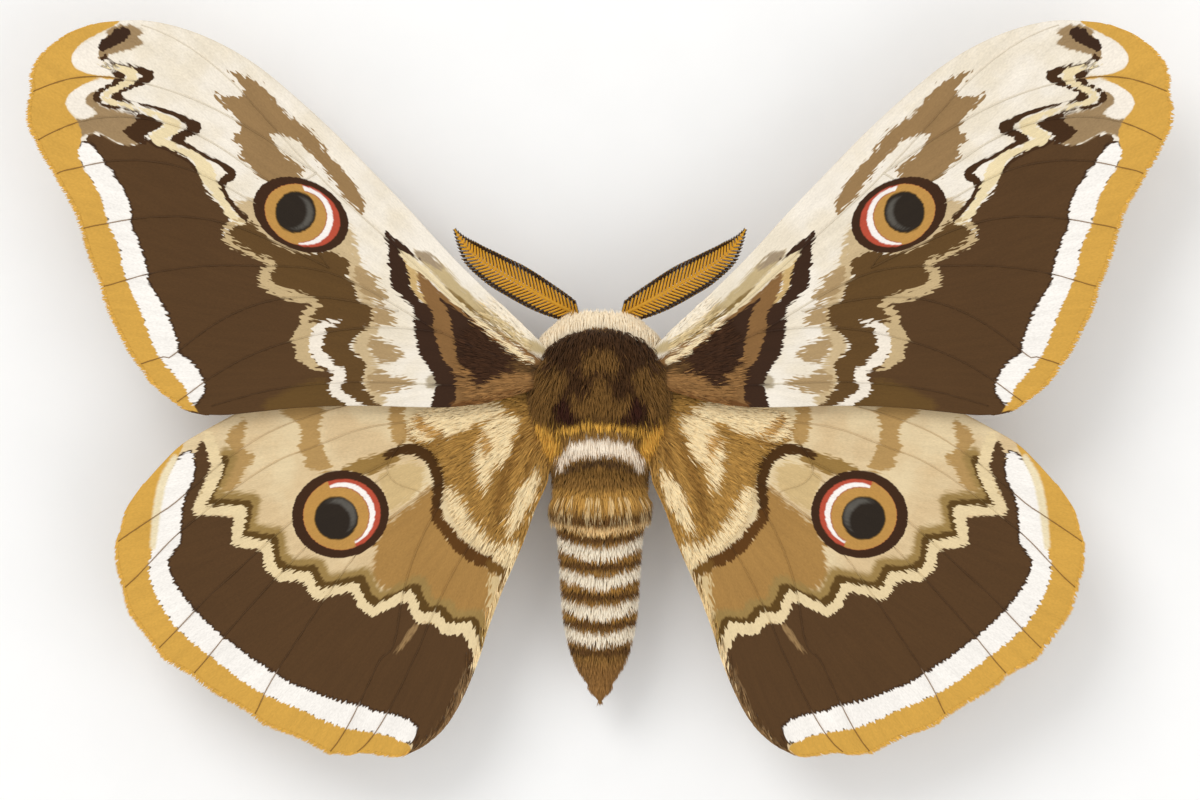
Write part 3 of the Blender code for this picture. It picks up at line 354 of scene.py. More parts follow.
HINDWING_MARKS = (
    ("tan_patches", "B8935A", 0.2, 0.6, (
        area((46.4, 3.8), (48.4, 5.0), (49.4, 6.9), (48.4, 8.6), (49.9, 11.6), (50.7, 13.8), (48.2, 13.9),
             (46.6, 10.4), (45.2, 9.0), (47.0, 8.2), (46.9, 6.2)),
        area((43.4, 2.6), (39.6, 4.6), (39.2, 6.5), (39.9, 8.3), (38.4, 9.2), (39.4, 10.6), (36.3, 11.2),
             (35.0, 10.3), (36.2, 9.2), (37.2, 5.2), (35.8, 2.0)),
        area((27.9, 1.0), (27.5, 7.9), (25.1, 7.6), (25.3, 1.0)))),
    ("tan_field", "AC8246", 0.5, 0.9, (
        area((29.8, 19.8), (28.4, 17.8), (26.6, 16.6), (24.2, 14.8), (22.2, 12.8), (21.2, 14.0), (20.6, 18.4),
             (19.0, 21.0), (12.5, 24.0), (14.0, 33.0), (17.5, 32.0), (20.0, 32.2), (24.0, 31.0), (25.2, 27.0),
             (27.6, 27.6), (30.4, 25.0), (29.6, 22.2)),)),
    ("cream_pool", "D6B984", 0.4, 0.8, (
        area((29.6, 11.6), (26.5, 10.0), (23.6, 9.9), (22.8, 11.6), (23.4, 13.2), (24.8, 14.5), (26.4, 15.8),
             (27.8, 16.4), (28.6, 14.0)),)),
    ("tan_wedge", "9C7A40", 0.25, 0.6, (
        area((35.0, 11.4), (32.5, 9.8), (29.9, 8.9), (26.8, 8.0), (26.2, 9.6), (28.2, 10.6), (30.0, 11.7),
             (32.0, 11.4)),)),
    ("root_tan", "A27A3C", 0.4, 1.2, (HIND_ROOT,)),
    ("root_dark_streaks", "855F2A", 0.4, 1.2, (
        stroke((9.0, 4.2, 0.3), (11.6, 9.0, 1.3), (13.4, 14.0, 1.6), (14.0, 18.5, 0.6)),
        stroke((9.5, 3.2, 0.3), (14.0, 3.8, 0.6), (19.0, 5.8, 0.7), (23.0, 8.0, 0.5)),
        stroke((8.2, 5.2, 0.3), (9.4, 9.8, 0.9), (10.4, 14.0, 0.7)))),
    ("root_cream", "EBD5A8", 0.15, 1.4, (
        area((25.9, 1.0), (25.9, 3.6), (24.4, 7.3), (20.6, 6.8), (16.1, 4.9), (12.0, 3.2), (13.5, 2.2),
             (18.0, 1.4)),
        area((10.6, 3.6), (14.6, 3.8), (15.8, 6.4), (16.6, 8.7), (16.3, 11.6), (15.3, 14.6), (14.5, 11.6),
             (13.6, 9.5), (13.0, 10.6), (11.4, 6.8)),
        area((7.6, 10.2), (10.4, 12.6), (11.7, 16.0), (12.6, 20.5), (10.8, 18.0), (9.0, 15.5)),
        area((19.8, 12.4), (21.0, 15.4), (18.9, 18.8), (16.3, 21.9), (14.4, 22.8), (11.6, 25.6), (10.2, 21.0),
             (11.6, 20.4), (13.2, 21.4), (15.6, 19.6), (17.6, 16.6)))),
    ("root_tan_streak", "B2884B", 0.2, 0.8, (
        area((24.6, 3.0), (22.4, 5.2), (20.0, 6.6), (21.6, 6.9), (24.3, 5.6)),
        area((15.4, 5.0), (14.2, 8.0), (15.0, 10.0), (15.8, 7.6)))),
    ("inner_edge_cream", "D9BE8C", 0.2, 1.0, (
        area((14.9, 24.6), (13.2, 25.0), (12.4, 27.2), (13.0, 31.0), (14.6, 34.6), (15.4, 32.6), (15.2, 29.6),
             (14.4, 27.6)),)),
    ("inner_arc", "4A2D08", 0.15, 0.5, (
        stroke((28.2, 9.0, 0.8), (26.6, 8.3, 1.4), (24.7, 8.0, 1.5), (22.4, 9.1, 1.7), (21.4, 11.0, 1.5),
               (21.3, 13.4, 1.4), (21.6, 15.5, 1.3), (21.5, 17.3, 1.3)),)),
    ("inner_arc_rear", "5E3A10", 0.2, 0.5, (
        stroke((21.6, 16.4, 1.2), (21.5, 17.4, 1.4), (20.2, 18.8, 1.5), (18.9, 20.6, 1.7), (17.0, 22.1, 1.8),
               (14.8, 23.1, 1.7)),)),
    ("inner_arc_end", "755220", 0.25, 0.5, (
        stroke((14.5, 23.4, 1.3), (13.6, 23.9, 1.5), (12.8, 24.4, 1.3)),)),
    ("zigzag_halo", "A0824A", 0.5, 0.4, (stroke(*shifted(HIND_ZIGZAG[1:], -1.2, -1.25, 2.5), rounds=0),)),
    ("zigzag_shade", "5E4318", 0.2, 0.3, (stroke(*shifted(HIND_ZIGZAG[1:], -0.75, -0.75, 1.5), rounds=0),)),
    ("outer_field", "573C20", 0.12, 0.5, (
        area((52.3, 6.4), (51.4, 8.4), (50.9, 10.4), (52.0, 12.8), (53.6, 15.4), (53.4, 16.6), (47.2, 16.9),
             (48.4, 20.3), (44.2, 20.9), (43.6, 23.7), (42.0, 24.9), (38.5, 24.9), (37.6, 27.4), (35.8, 27.1),
             (32.5, 25.9), (31.0, 29.1), (29.0, 28.6), (25.3, 27.1), (24.3, 31.1), (21.0, 31.1),
             (19.8, 32.4), (17.5, 31.9), (16.0, 35.4), (17.0, 40.0), (20.0, 46.0), (24.0, 49.0),
             (26.0, 45.5), (31.0, 43.0), (38.0, 41.2), (45.0, 37.5), (51.0, 33.4), (57.0, 27.0),
             (58.2, 22.8), (56.2, 20.5), (56.2, 14.5), (54.3, 11.5), (53.4, 8.6)),)),
    ("band_shadow", "3F2813", 0.15, 0.4, (grown(HIND_BAND, 0.28),)),
    ("field_streaks", "9A7A50", 0.15, 0.4, (
        stroke((24.2, 31.3, 0.6), (25.4, 33.0, 0.8), (27.0, 35.0, 0.3)),)),
    ("inner_edge_streak", "7F6240", 0.3, 0.6, (
        area((17.4, 36.4), (18.4, 38.6), (19.6, 42.0), (21.8, 45.4), (24.4, 47.6), (22.0, 48.6), (18.6, 45.0),
             (16.6, 40.6)),)),
    ("ochre_border", "D9A74A", 0.12, 0.1, (
        area((54.2, 6.2), (55.7, 9.3), (57.5, 13.0), (58.7, 17.0), (58.8, 21.5), (59.5, 23.8), (58.5, 27.5),
             (55.5, 32.0), (51.5, 35.0), (48.0, 37.8), (44.5, 40.3), (40.0, 42.0), (36.0, 44.0), (33.0, 45.0),
             (29.0, 45.5), (26.0, 46.5), (24.4, 48.0), (26.0, 54.0), (50.0, 52.0), (70.0, 36.0), (72.0, 10.0),
             (60.0, 4.0)),)),
    ("white_band", "FFFAF3", 0.12, 0.4, (HIND_BAND,)),
    ("band_cream", "F2E2BC", 0.25, 0.1, (
        stroke((56.0, 9.2, 0.8), (57.6, 12.0, 1.1), (58.4, 16.0, 1.1), (58.9, 21.0, 0.8)),)),
    ("zigzag_cream", "EDD6A8", 0.1, 0.55, (stroke(*HIND_ZIGZAG, rounds=0),)),
    *eyespot(HIND_RING, HIND_IRIS, HIND_OCHRE, oval(33.8, 16.65, 4.15, 4.15), (34.75, 17.2, 2.8, 2.78),
             oval(34.5, 16.95, 2.35, 2.35), oval(35.35, 17.65, 2.5, 2.5)),
)

# Markings of the body's upper side, with painted shadows behind the pale arc and bands, on (distance from the
# midline, distance towards the tail)
BODY_MARKS = (
    ("abdomen_brown", "8A6532", 0.5, 0.0, (area((-9, 9.0), (9, 9.0), (8, 50), (-8, 50)),)),
    ("abdomen_ochre", "A87B38", 0.6, 0.0, tuple(
        arch((0, y + 0.7, 1.5), (7, y, 1.4)) for y in (19.6, 23.1, 27.0, 30.8))),
    # Painted shadow: a dark arched line just behind each pale band, where the band's overhanging edge shades
    # the next ring
    ("painted_band_shadows", "5A3C1C", 0.35, 0.0, tuple(
        arch((0, y, 1.1), (3, y - 0.2, 1.0), (7, y - 1.0, 0.7))
        for y in (17.6, 20.3, 23.9, 27.9, 31.7, 35.2))),
    ("rear_fringe", "B08541", 0.5, 0.0, (arch((0, 15.2, 2.6), (3, 15.0, 2.6), (7, 14.4, 2.4)),)),
    ("abdomen_bands", "FFF3DC", 0.2, 0.0, tuple(
        arch((0, y, 1.65), (3.6, y - 1.0, 1.4), (7, y - 2.9, 1.0)) for y in (22.5, 26.3, 30.3, 33.8))),
    ("fringe_band", "EDCB90", 0.22, 0.0, (arch((0, 19.2, 1.1), (3.6, 18.6, 1.0), (7, 17.4, 0.8)),)),
    ("tail_brown", "8A6334", 0.9, 0.0, (area((-6, 36.6), (6, 36.6), (5, 46), (-5, 46)),)),
    ("back_brown", "84602E", 0.6, 0.0, (
        area((-5.4, 5.6), (5.4, 5.6), (6.4, 9.5), (6.6, 13.6), (-6.6, 13.6), (-6.4, 9.5)),)),
    ("ochre_sides", "CF9D42", 0.35, 0.0, (
        *both_sides(stroke, (9.2, 1.6, 0.8), (8.2, 3.8, 2.8), (6.8, 6.2, 3.6), (6.0, 9.0, 2.2)),
        arch((0, 5.0, 0.9), (4.2, 5.5, 0.9), (6.6, 6.2, 1.2)))),
    ("white_arc", "FFF0DA", 0.25, 0.0, (
        arch((0, 7.8, 2.2), (2.4, 8.0, 2.1), (4.0, 9.0, 1.4), (4.5, 10.8, 0.5)),)),
    # Painted shadow: a dark line just behind the white arc, where its hair overhangs the back
    ("painted_arc_shadow", "46301B", 0.35, 0.0, (arch((0, 9.9, 1.0), (2.2, 10.1, 0.9), (3.9, 11.0, 0.5)),)),
    ("back_patches", "6E4E24", 0.4, 0.0, (
        area((-1.6, -4.5), (0, -4.1), (1.6, -4.5), (2.5, -2.6), (1.7, -0.4), (0.7, -1.9), (-0.7, -1.9),
             (-1.7, -0.4), (-2.5, -2.6)),
        area((-0.6, -0.8), (0, -1.5), (0.6, -0.8), (1.5, 1.4), (2.3, 2.2), (3.6, 0.8), (3.6, 3.0),
             (2.6, 4.2), (-2.6, 4.2), (-3.6, 3.0), (-3.6, 0.8), (-2.3, 2.2), (-1.5, 1.4)),
        *both_sides(area, (3.7, -1.6), (5.2, -1.8), (6.6, -3.2), (10.0, -3.6), (10.0, 2.8), (6.4, 3.4),
                    (4.6, 1.6)))),
    ("back_spots", "32160B", 0.3, 0.0, both_sides(
        area, (4.3, 1.4), (5.4, 2.4), (5.2, 4.2), (3.4, 5.0), (2.4, 4.7), (3.8, 3.2))),
)
# The abdomen's markings, with the painted shadows behind its pale bands, which run on round its flanks
ABDOMEN_MARKS = BODY_MARKS[:6]


def painted(points, ground, marks, unevenness=0.0, draw=None):
    """Linear colours at points: the ground colour, then each marking mixed over it by a smooth step of the
    depth inside its shapes. Unevenness moves each point's edge in or out by a random length."""
    colours = np.tile(colour_of(ground), (len(points), 1))
    stir = draw.normal(0, unevenness, len(points)) if draw is not None else 0.0
    for _, code, soft, _, shapes in marks:
        depth = np.max([shape(points) for shape in shapes], axis=0) + stir
        share = np.clip(depth / (2 * soft + 0.1) + 0.5, 0, 1)
        share = (share * share * (3 - 2 * share))[:, None]
        colours += share * (colour_of(code) - colours)
    return colours


# Surfaces. A surface is a grid of points with outward normals, in millimetres.

def curve_through(points, shares):
    """Points at shares of the length of a smooth curve through the given points (Catmull-Rom pieces)."""
    knots = np.array(points, float)
    ends = np.vstack([2 * knots[0] - knots[1], knots, 2 * knots[-1] - knots[-2]])
    steps = np.linspace(0, 1, 24, endpoint=False)[:, None]
    fine = [0.5 * (2 * b + (c - a) * steps + (2 * a - 5 * b + 4 * c - d) * steps ** 2
                   + (3 * b - a - 3 * c + d) * steps ** 3)
            for a, b, c, d in zip(ends, ends[1:], ends[2:], ends[3:])]
    line = np.vstack([*fine, knots[-1:]])
    along = np.concatenate([[0], np.cumsum(np.linalg.norm(np.diff(line, axis=0), axis=1))])
    along /= along[-1]
    return np.stack([np.interp(shares, along, line[:, k]) for k in range(line.shape[1])], axis=-1)


def grid_normals(grid, wraps):
    """Unit normals of a grid of points: the cross product of its two directions of travel, turned outwards
    where the grid wraps round."""
    down = np.gradient(grid, axis=0)
    if wraps:
        wide = np.concatenate([grid[:, -2:-1], grid, grid[:, 1:2]], axis=1)
        over = (wide[:, 2:] - wide[:, :-2]) / 2
    else:
        over = np.gradient(grid, axis=1)
    normal = np.cross(over, down) if wraps else np.cross(down, over)
    return normal / (np.linalg.norm(normal, axis=2, keepdims=True) + 1e-12)


class Surface:
    """A grid of points P[i, j] with normals, read between its points by linear interpolation. The first
    share runs along i. Where the surface wraps round, the last column repeats the first."""

    def __init__(self, grid, wraps=False):
        self.grid = grid
        self.normals = grid_normals(grid, wraps)
        self.wraps = wraps

    def read(self, table, along, around):
        rows, columns = table.shape[:2]
        i = np.clip(along, 0, 1) * (rows - 1)
        j = (around % 1.0 if self.wraps else np.clip(around, 0, 1)) * (columns - 1)
        low_i, low_j = np.minimum(i.astype(int), rows - 2), np.minimum(j.astype(int), columns - 2)
        di, dj = (i - low_i)[:, None], (j - low_j)[:, None]
        near = table[low_i, low_j] * (1 - dj) + table[low_i, low_j + 1] * dj
        far = table[low_i + 1, low_j] * (1 - dj) + table[low_i + 1, low_j + 1] * dj
        return near * (1 - di) + far * di

    def at(self, along, around):
        """Points, going straight on past the ends."""
        step = 0.02
        inside = np.clip(along, 0, 1)
        back = inside + np.where(inside < 0.5, step, -step)
        points = self.read(self.grid, inside, around)
        beyond = (along - inside)[:, None]
        slope = (points - self.read(self.grid, back, around)) / (inside - back)[:, None]
        return points + beyond * slope

    def normal(self, along, around):
        normal = self.read(self.normals, along, around)
        return normal / np.linalg.norm(normal, axis=1, keepdims=True)

    def speeds(self, along, around):
        """Millimetres of surface for each unit of the two shares."""
        nudge = 0.004
        along = np.clip(along, nudge, 1 - nudge)
        here = self.read(self.grid, along - nudge, around)
        there = self.read(self.grid, along + nudge, around)
        if not self.wraps:
            around = np.clip(around, nudge, 1 - nudge)
        left = self.read(self.grid, along, around - nudge)
        right = self.read(self.grid, along, around + nudge)
        return (np.linalg.norm(there - here, axis=1) / (2 * nudge),
                np.linalg.norm(right - left, axis=1) / (2 * nudge) + 1e-6)

    def scatter(self, count, weight, draw):
        """Random places, as many for each bit of area as weight(points, along, around) says."""
        g = self.grid
        cross = np.cross(g[1:, :-1] - g[:-1, :-1], g[:-1, 1:] - g[:-1, :-1])
        rows, columns = cross.shape[:2]
        middle = (g[1:, 1:] + g[:-1, :-1]) / 2
        along = np.repeat((np.arange(rows) + 0.5) / rows, columns)
        around = np.tile((np.arange(columns) + 0.5) / columns, rows)
        share = np.linalg.norm(cross, axis=2).ravel() * weight(middle.reshape(-1, 3), along, around)
        total = np.cumsum(share)
        picks = np.searchsorted(total, draw.random(count) * total[-1])
        return (along[picks] + (draw.random(count) - 0.5) / rows,
                around[picks] + (draw.random(count) - 0.5) / columns)


# Meshes

def add_piece(name, points, quads, triangles=(), attributes=None, maps=None, materials=(), faces_of=None,
              sharp=None):
    """Puts whole arrays of points in millimetres and faces into a new mesh object. Sharp is a rule that
    takes the edges' point numbers and tells which edges are creases."""
    quads = np.asarray(quads, np.int32).reshape(-1, 4)
    triangles = np.asarray(triangles, np.int32).reshape(-1, 3)
    corners = np.concatenate([quads.ravel(), triangles.ravel()])
    totals = np.concatenate([np.full(len(quads), 4), np.full(len(triangles), 3)]).astype(np.int32)
    starts = np.concatenate([[0], np.cumsum(totals)[:-1]]).astype(np.int32)
    mesh = bpy.data.meshes.new(name)
    mesh.vertices.add(len(points))
    mesh.vertices.foreach_set("co", (np.asarray(points) * MM).astype(np.float32).ravel())
    mesh.loops.add(len(corners))
    mesh.loops.foreach_set("vertex_index", corners)
    mesh.polygons.add(len(totals))
    mesh.polygons.foreach_set("loop_start", starts)
    mesh.polygons.foreach_set("use_smooth", np.ones(len(totals), bool))
    if faces_of is not None:
        mesh.polygons.foreach_set("material_index", np.asarray(faces_of, np.int32))
    mesh.update(calc_edges=True)
    if sharp is not None:
        ends = np.zeros(len(mesh.edges) * 2, np.int32)
        mesh.edges.foreach_get("vertices", ends)
        creases = mesh.attributes.new("sharp_edge", "BOOLEAN", "EDGE")
        creases.data.foreach_set("value", sharp(ends.reshape(-1, 2)))
    for key, values in (attributes or {}).items():
        values = np.asarray(values, np.float32)
        if values.ndim == 1:
            mesh.attributes.new(key, "FLOAT", "POINT").data.foreach_set("value", values)
        else:
            full = np.concatenate([values, np.ones((len(values), 1), np.float32)], axis=1)
            mesh.attributes.new(key, "FLOAT_COLOR", "POINT").data.foreach_set("color", full.ravel())
    for key, values in (maps or {}).items():
        layer = mesh.uv_layers.new(name=key)
        layer.uv.foreach_set("vector", np.asarray(values, np.float32)[corners].ravel())
    for one in materials:
        mesh.materials.append(one)
    mesh.validate()
    obj = bpy.data.objects.new(name, mesh)
    bpy.context.scene.collection.objects.link(obj)
    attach(obj, "root")
    return obj


def grid_quads(rows, columns, wraps=False):
    """Faces of a grid whose point (i, j) has number i * columns + j."""
    i = np.arange(rows - 1)[:, None]
    j = np.arange(columns if wraps else columns - 1)[None]
    right = (j + 1) % columns
    here = i * columns + j
    beside = i * columns + right
    return np.stack([here, here + columns, beside + columns, beside], axis=-1).reshape(-1, 4)


def closed_faces(rows, columns):
    """Quads and triangles of a grid that wraps round and is closed by one end point at each end. The two
    end points come after the grid's own."""
    here = np.arange(columns)
    after = (here + 1) % columns
    last = (rows - 1) * columns
    end = np.full(columns, rows * columns)
    caps = np.vstack([np.stack([end, here, after], axis=1),
                      np.stack([end + 1, last + after, last + here], axis=1)])
    return grid_quads(rows, columns, wraps=True), caps


def tube_between(path, radii, sides, flat=1.0, up=(0.0, 0.0, 1.0)):
    """Points and faces of a closed tube: circles of the given radii square to a path, one end point each.
    Flat below 1 presses the tube thin along its own upward direction."""
    path, radii = np.asarray(path, float), np.asarray(radii, float)
    ahead = np.gradient(path, axis=0)
    ahead /= np.linalg.norm(ahead, axis=1)[:, None] + 1e-12
    across = np.cross(ahead, up)
    across /= np.linalg.norm(across, axis=1)[:, None] + 1e-12
    over = np.cross(across, ahead)
    turn = np.arange(sides) * 2 * math.pi / sides
    rings = (path[:, None] + radii[:, None, None] * (np.sin(turn)[None, :, None] * across[:, None]
                                                     + flat * np.cos(turn)[None, :, None] * over[:, None]))
    points = np.vstack([rings.reshape(-1, 3), path[:1], path[-1:]])
    quads, triangles = closed_faces(len(path), sides)
    return points, quads[:, ::-1], triangles[:, ::-1]


def gather(shapes):
    """Joins (points, quads, triangles) of several shapes into one."""
    points, quads, triangles, shift = [], [], [], 0
    for p, q, t in shapes:
        points.append(p)
        quads.append(np.asarray(q).reshape(-1, 4) + shift)
        triangles.append(np.asarray(t).reshape(-1, 3) + shift)
        shift += len(p)
    return np.vstack(points), np.vstack(quads), np.vstack(triangles)


SIDES = (("left", 1), ("right", -1))


def sided(sign, points, quads, triangles=np.zeros((0, 3), int)):
    """Points and faces as they are for the left side, mirrored and still facing outwards for the right."""
    return points * (sign, 1, 1), quads[:, ::sign], triangles[:, ::sign]


# Share of its full width that a tuft has at each ring from the root
TUFT_WIDTHS = (0.75, 1.0, 0.7)


def tufts(name, surface, along, around, lie, length, rise, width, colours, look, sink=0.25, rings=3,
          root_shade=0.6, mirror=False):
    """One mesh of many tapered tufts. A tuft starts sunk in the surface and follows it: its spine is the
    surface point moved along the lie by a share of the length, lifted along the normal by the rise times
    1 - (1 - share)^1.6. Its section is a triangle whose width swells and then narrows to the tip."""
    count = len(along)
    speed_along, speed_around = surface.speeds(along, around)
    shares = np.linspace(0, 1, rings + 1)
    spines, normals = [], []
    for share in shares:
        a = along + lie[0] * length * share / speed_along
        b = around + lie[1] * length * share / speed_around
        normal = surface.normal(a, b)
        lift = rise * (1 - (1 - share) ** 1.6) - sink * (1 - share)
        spines.append(surface.at(a, b) + normal * lift[:, None])
        normals.append(normal)
    points, shade, local = [], [], []
    for k in range(rings):
        ahead = spines[k + 1] - spines[k]
        ahead /= np.linalg.norm(ahead, axis=1)[:, None] + 1e-9
        across = np.cross(ahead, normals[k])
        across /= np.linalg.norm(across, axis=1)[:, None] + 1e-9
        over = np.cross(across, ahead)
        size = width * TUFT_WIDTHS[k]
        points.append(np.stack([spines[k] - across * size / 2, spines[k] + over * size * 0.35,
                                spines[k] + across * size / 2], axis=1))
        # Painted shade: each ring of a tuft is darker the nearer it lies to the root, where the fur round it
        # shades it
        shade.append(np.full((count, 3), root_shade + (1 - root_shade) * min(1.0, shares[k] * 1.6)))
        local.append(np.tile(np.array([[-1.0, 0.0, 1.0]]), (count, 1)) + 1j * (2 * shares[k] - 1))
    points.append(spines[-1][:, None])
    shade.append(np.ones((count, 1)))
    local.append(np.full((count, 1), 1j))
    each = 3 * rings + 1
    points = np.concatenate(points, axis=1).reshape(-1, 3)
    shade = np.concatenate(shade, axis=1).reshape(-1, 1)
    local = np.concatenate(local, axis=1).reshape(-1)
    first = (np.arange(count) * each)[:, None]
    quads = [[3 * k + s, 3 * k + (s + 1) % 3, 3 * k + (s + 1) % 3 + 3, 3 * k + s + 3]
             for k in range(rings - 1) for s in range(3)]
    top = 3 * (rings - 1)
    triangles = [[2, 1, 0]] + [[top + s, top + (s + 1) % 3, each - 1] for s in range(3)]
    quads = (first[:, None] + np.array(quads)[None]).reshape(-1, 4)
    triangles = (first[:, None] + np.array(triangles)[None]).reshape(-1, 3)
    points, quads, triangles = sided(-1 if mirror else 1, points, quads, triangles)
    lightest = np.repeat(colours.max(axis=1), each)[:, None]
    coat = np.repeat(colours, each, axis=0) * np.minimum(HAIR_LIFT, 0.96 / lightest)
    # Pale tufts get less of the painted shade at their roots
    coat *= 1 - (1 - shade) * (1 - 0.75 * np.minimum(lightest, 1))
    root = np.stack([np.clip(around % 1.0 if surface.wraps else around, 0, 1), np.clip(along, 0, 1)], axis=1)
    unwrap = 0.01 + 0.98 * np.repeat(root, each, axis=0)
    unwrap += 0.0015 * np.stack([local.real, local.imag], axis=1)

    def along_sides(ends):
        first_end, second_end = ends[:, 0] % each, ends[:, 1] % each
        tip = (first_end == each - 1) | (second_end == each - 1)
        side = np.minimum(first_end, second_end) % 3
        return (side != 1) & (tip | (first_end % 3 == second_end % 3))

    piece = add_piece(name, points, quads, triangles, {"coat": coat}, {"OFBake": unwrap}, (look,),
                      sharp=along_sides)
    return piece


# Wings

FOREWING = {
    "name": "forewing",
    "front": ((6.0, -4.2), (8.0, -6.2), (10.0, -8.0), (15.0, -12.8), (20.0, -17.8), (25.0, -23.3),
              (30.0, -28.5), (35.0, -33.6), (40.0, -38.2), (45.0, -42.3), (50.0, -45.3), (55.0, -47.3),
              (60.0, -48.3), (65.0, -48.1), (67.0, -47.7)),
    "margin": ((67.0, -47.7), (70.0, -46.4), (72.8, -44.2), (74.2, -42.2), (74.6, -40.4), (74.4, -39.3),
               (74.9, -37.0), (74.8, -34.6), (73.7, -32.3), (72.9, -30.5), (71.5, -28.3), (70.2, -26.0),
               (68.7, -23.4), (67.9, -21.2), (67.1, -18.4), (66.0, -15.2), (65.2, -13.4), (64.5, -10.8),
               (62.9, -7.4), (61.3, -4.4), (60.3, -3.1), (58.4, -0.5), (55.6, 1.8), (53.8, 3.0), (51.5, 3.6)),
    "rear": ((6.0, -0.6), (9.3, 0.3), (11.6, 1.1), (15.0, 1.95), (17.0, 2.3), (20.0, 2.6), (25.0, 2.55),
             (30.0, 2.4), (35.0, 2.45), (40.0, 2.7), (45.0, 3.2), (49.0, 3.6), (51.5, 3.6)),
    "root": (7.0, -2.5),
    "layer": 1.0,
    "ring": FORE_RING,
    "marks": FOREWING_MARKS,
    "ground": "F2E6D0",
    "second_ground": "F7EEDF",
}
HINDWING = {
    "name": "hindwing",
    "front": ((5.6, -0.4), (9.0, -1.0), (14.0, -1.3), (22.0, -1.0), (32.0, -0.6), (41.0, 0.8), (47.0, 3.0),
              (52.0, 5.6), (55.1, 7.5), (57.6, 9.9), (60.2, 12.8)),
    "margin": ((60.2, 12.8), (62.2, 15.9), (62.9, 18.6), (63.5, 20.4), (63.4, 23.2), (62.7, 25.8),
               (61.8, 29.1), (60.0, 31.8), (58.0, 34.4), (56.9, 35.7), (54.6, 37.0), (53.3, 37.7),
               (51.5, 39.3), (48.1, 41.3), (45.6, 42.9), (43.7, 44.3), (40.4, 45.5), (38.0, 46.6),
               (35.5, 48.0), (34.5, 48.0), (32.8, 48.2), (30.9, 47.9), (28.5, 48.3), (26.3, 48.5),
               (24.5, 47.9)),
    "rear": ((5.4, 5.8), (6.8, 10.8), (7.1, 12.6), (8.6, 15.9), (10.0, 19.8), (11.5, 23.4), (13.0, 26.8),
             (15.0, 32.2), (16.0, 35.6), (17.5, 39.4), (19.0, 42.5), (20.7, 45.0), (22.8, 46.9),
             (24.5, 47.9)),
    "root": (6.5, 3.8),
    "layer": -1.0,
    "ring": HIND_RING,
    "marks": HINDWING_MARKS,
    "ground": "E0C497",
    "second_ground": "E8D2A8",
}
# Veins as shares of the way out and of the way back from the front edge
VEINS = {
    "forewing": (
        ((0.02, 0.35), (0.25, 0.2), (0.5, 0.14), (0.72, 0.07), (0.9, 0.02)),
        ((0.5, 0.14), (0.75, 0.16), (0.92, 0.176), (1.0, 0.2)),
        ((0.5, 0.14), (0.54, 0.26), (0.53, 0.38), (0.5, 0.47)),
        ((0.54, 0.26), (0.72, 0.235), (0.83, 0.246), (0.92, 0.271), (1.0, 0.306)),
        ((0.53, 0.38), (0.75, 0.34), (0.97, 0.379), (1.0, 0.386)),
        ((0.5, 0.47), (0.72, 0.47), (0.914, 0.501), (1.0, 0.513)),
        ((0.02, 0.6), (0.25, 0.52), (0.46, 0.48), (0.7, 0.57), (0.97, 0.635), (1.0, 0.64)),
        ((0.35, 0.51), (0.62, 0.63), (0.9, 0.796), (0.945, 0.807), (1.0, 0.82)),
        ((0.25, 0.52), (0.6, 0.74), (1.0, 0.93)),
        ((0.02, 0.85), (0.3, 0.84), (0.65, 0.9), (0.93, 0.95)),
    ),
    "hindwing": (
        ((0.02, 0.2), (0.3, 0.09), (0.6, 0.1), (0.821, 0.151), (0.88, 0.156), (1.0, 0.134)),
        ((0.04, 0.34), (0.2, 0.24), (0.382, 0.179), (0.538, 0.19), (0.632, 0.193), (0.93, 0.23),
         (1.0, 0.234)),
        ((0.35, 0.26), (0.41, 0.36), (0.38, 0.5)),
        ((0.395, 0.32), (0.7, 0.36), (0.9, 0.377), (1.0, 0.385)),
        ((0.41, 0.36), (0.6, 0.42), (0.8, 0.449), (0.9, 0.463), (1.0, 0.479)),
        ((0.02, 0.6), (0.2, 0.55), (0.38, 0.5), (0.7, 0.56), (0.91, 0.602), (1.0, 0.636)),
        ((0.29, 0.525), (0.5, 0.66), (0.69, 0.764), (0.76, 0.764), (0.87, 0.785), (1.0, 0.817)),
        ((0.02, 0.75), (0.3, 0.77), (0.6, 0.82), (0.864, 0.851), (1.0, 0.875)),
    ),
}


def wing_plan(wing, out, back):
    """Places on the wing from above, for arrays of shares out and back. The point is the front edge and
    the rear edge mixed by the share back, plus the share out times how far the margin bulges past the
    straight line between its own ends."""
    front = curve_through(wing["front"], out)
    rear = curve_through(wing["rear"], out)
    margin = curve_through(wing["margin"], back)
    first, last = np.array(wing["margin"][0]), np.array(wing["margin"][-1])
    b, o = back[..., None], out[..., None]
    return (1 - b) * front + b * rear + o * (margin - (1 - b) * first - b * last)


def wing_height(wing, x, y):
    """Height of the middle of the membrane: a rise and droop along the span, one wing over the other, and
    a slow wave across the wing that grows outwards."""
    root = wing["root"]
    out = (x - root[0]) / (HALF_SPAN - root[0])
    height = 14.0 + 5.0 * out - 3.6 * out ** 2 + wing["layer"]
    turn = np.arctan2(y - root[1], np.maximum(x - root[0], 0.1))
    reach = np.hypot(x - root[0], y - root[1]) / HALF_SPAN
    if wing["name"] == "forewing":
        forward = np.maximum(-turn, 0.0)
        return height - 1.6 * reach * forward ** 2 + 0.9 * reach ** 2 * np.sin(5.0 * forward)
    back = np.maximum(turn - 0.25, 0.0)
    return height - 1.7 * reach * back ** 2 + 0.8 * reach ** 2 * np.sin(4.2 * back)


def vein_lines(wing):
    """Each vein as shares out and back along a smooth curve."""
    return [curve_through(knots, np.linspace(0, 1, 60)) for knots in VEINS[wing["name"]]]


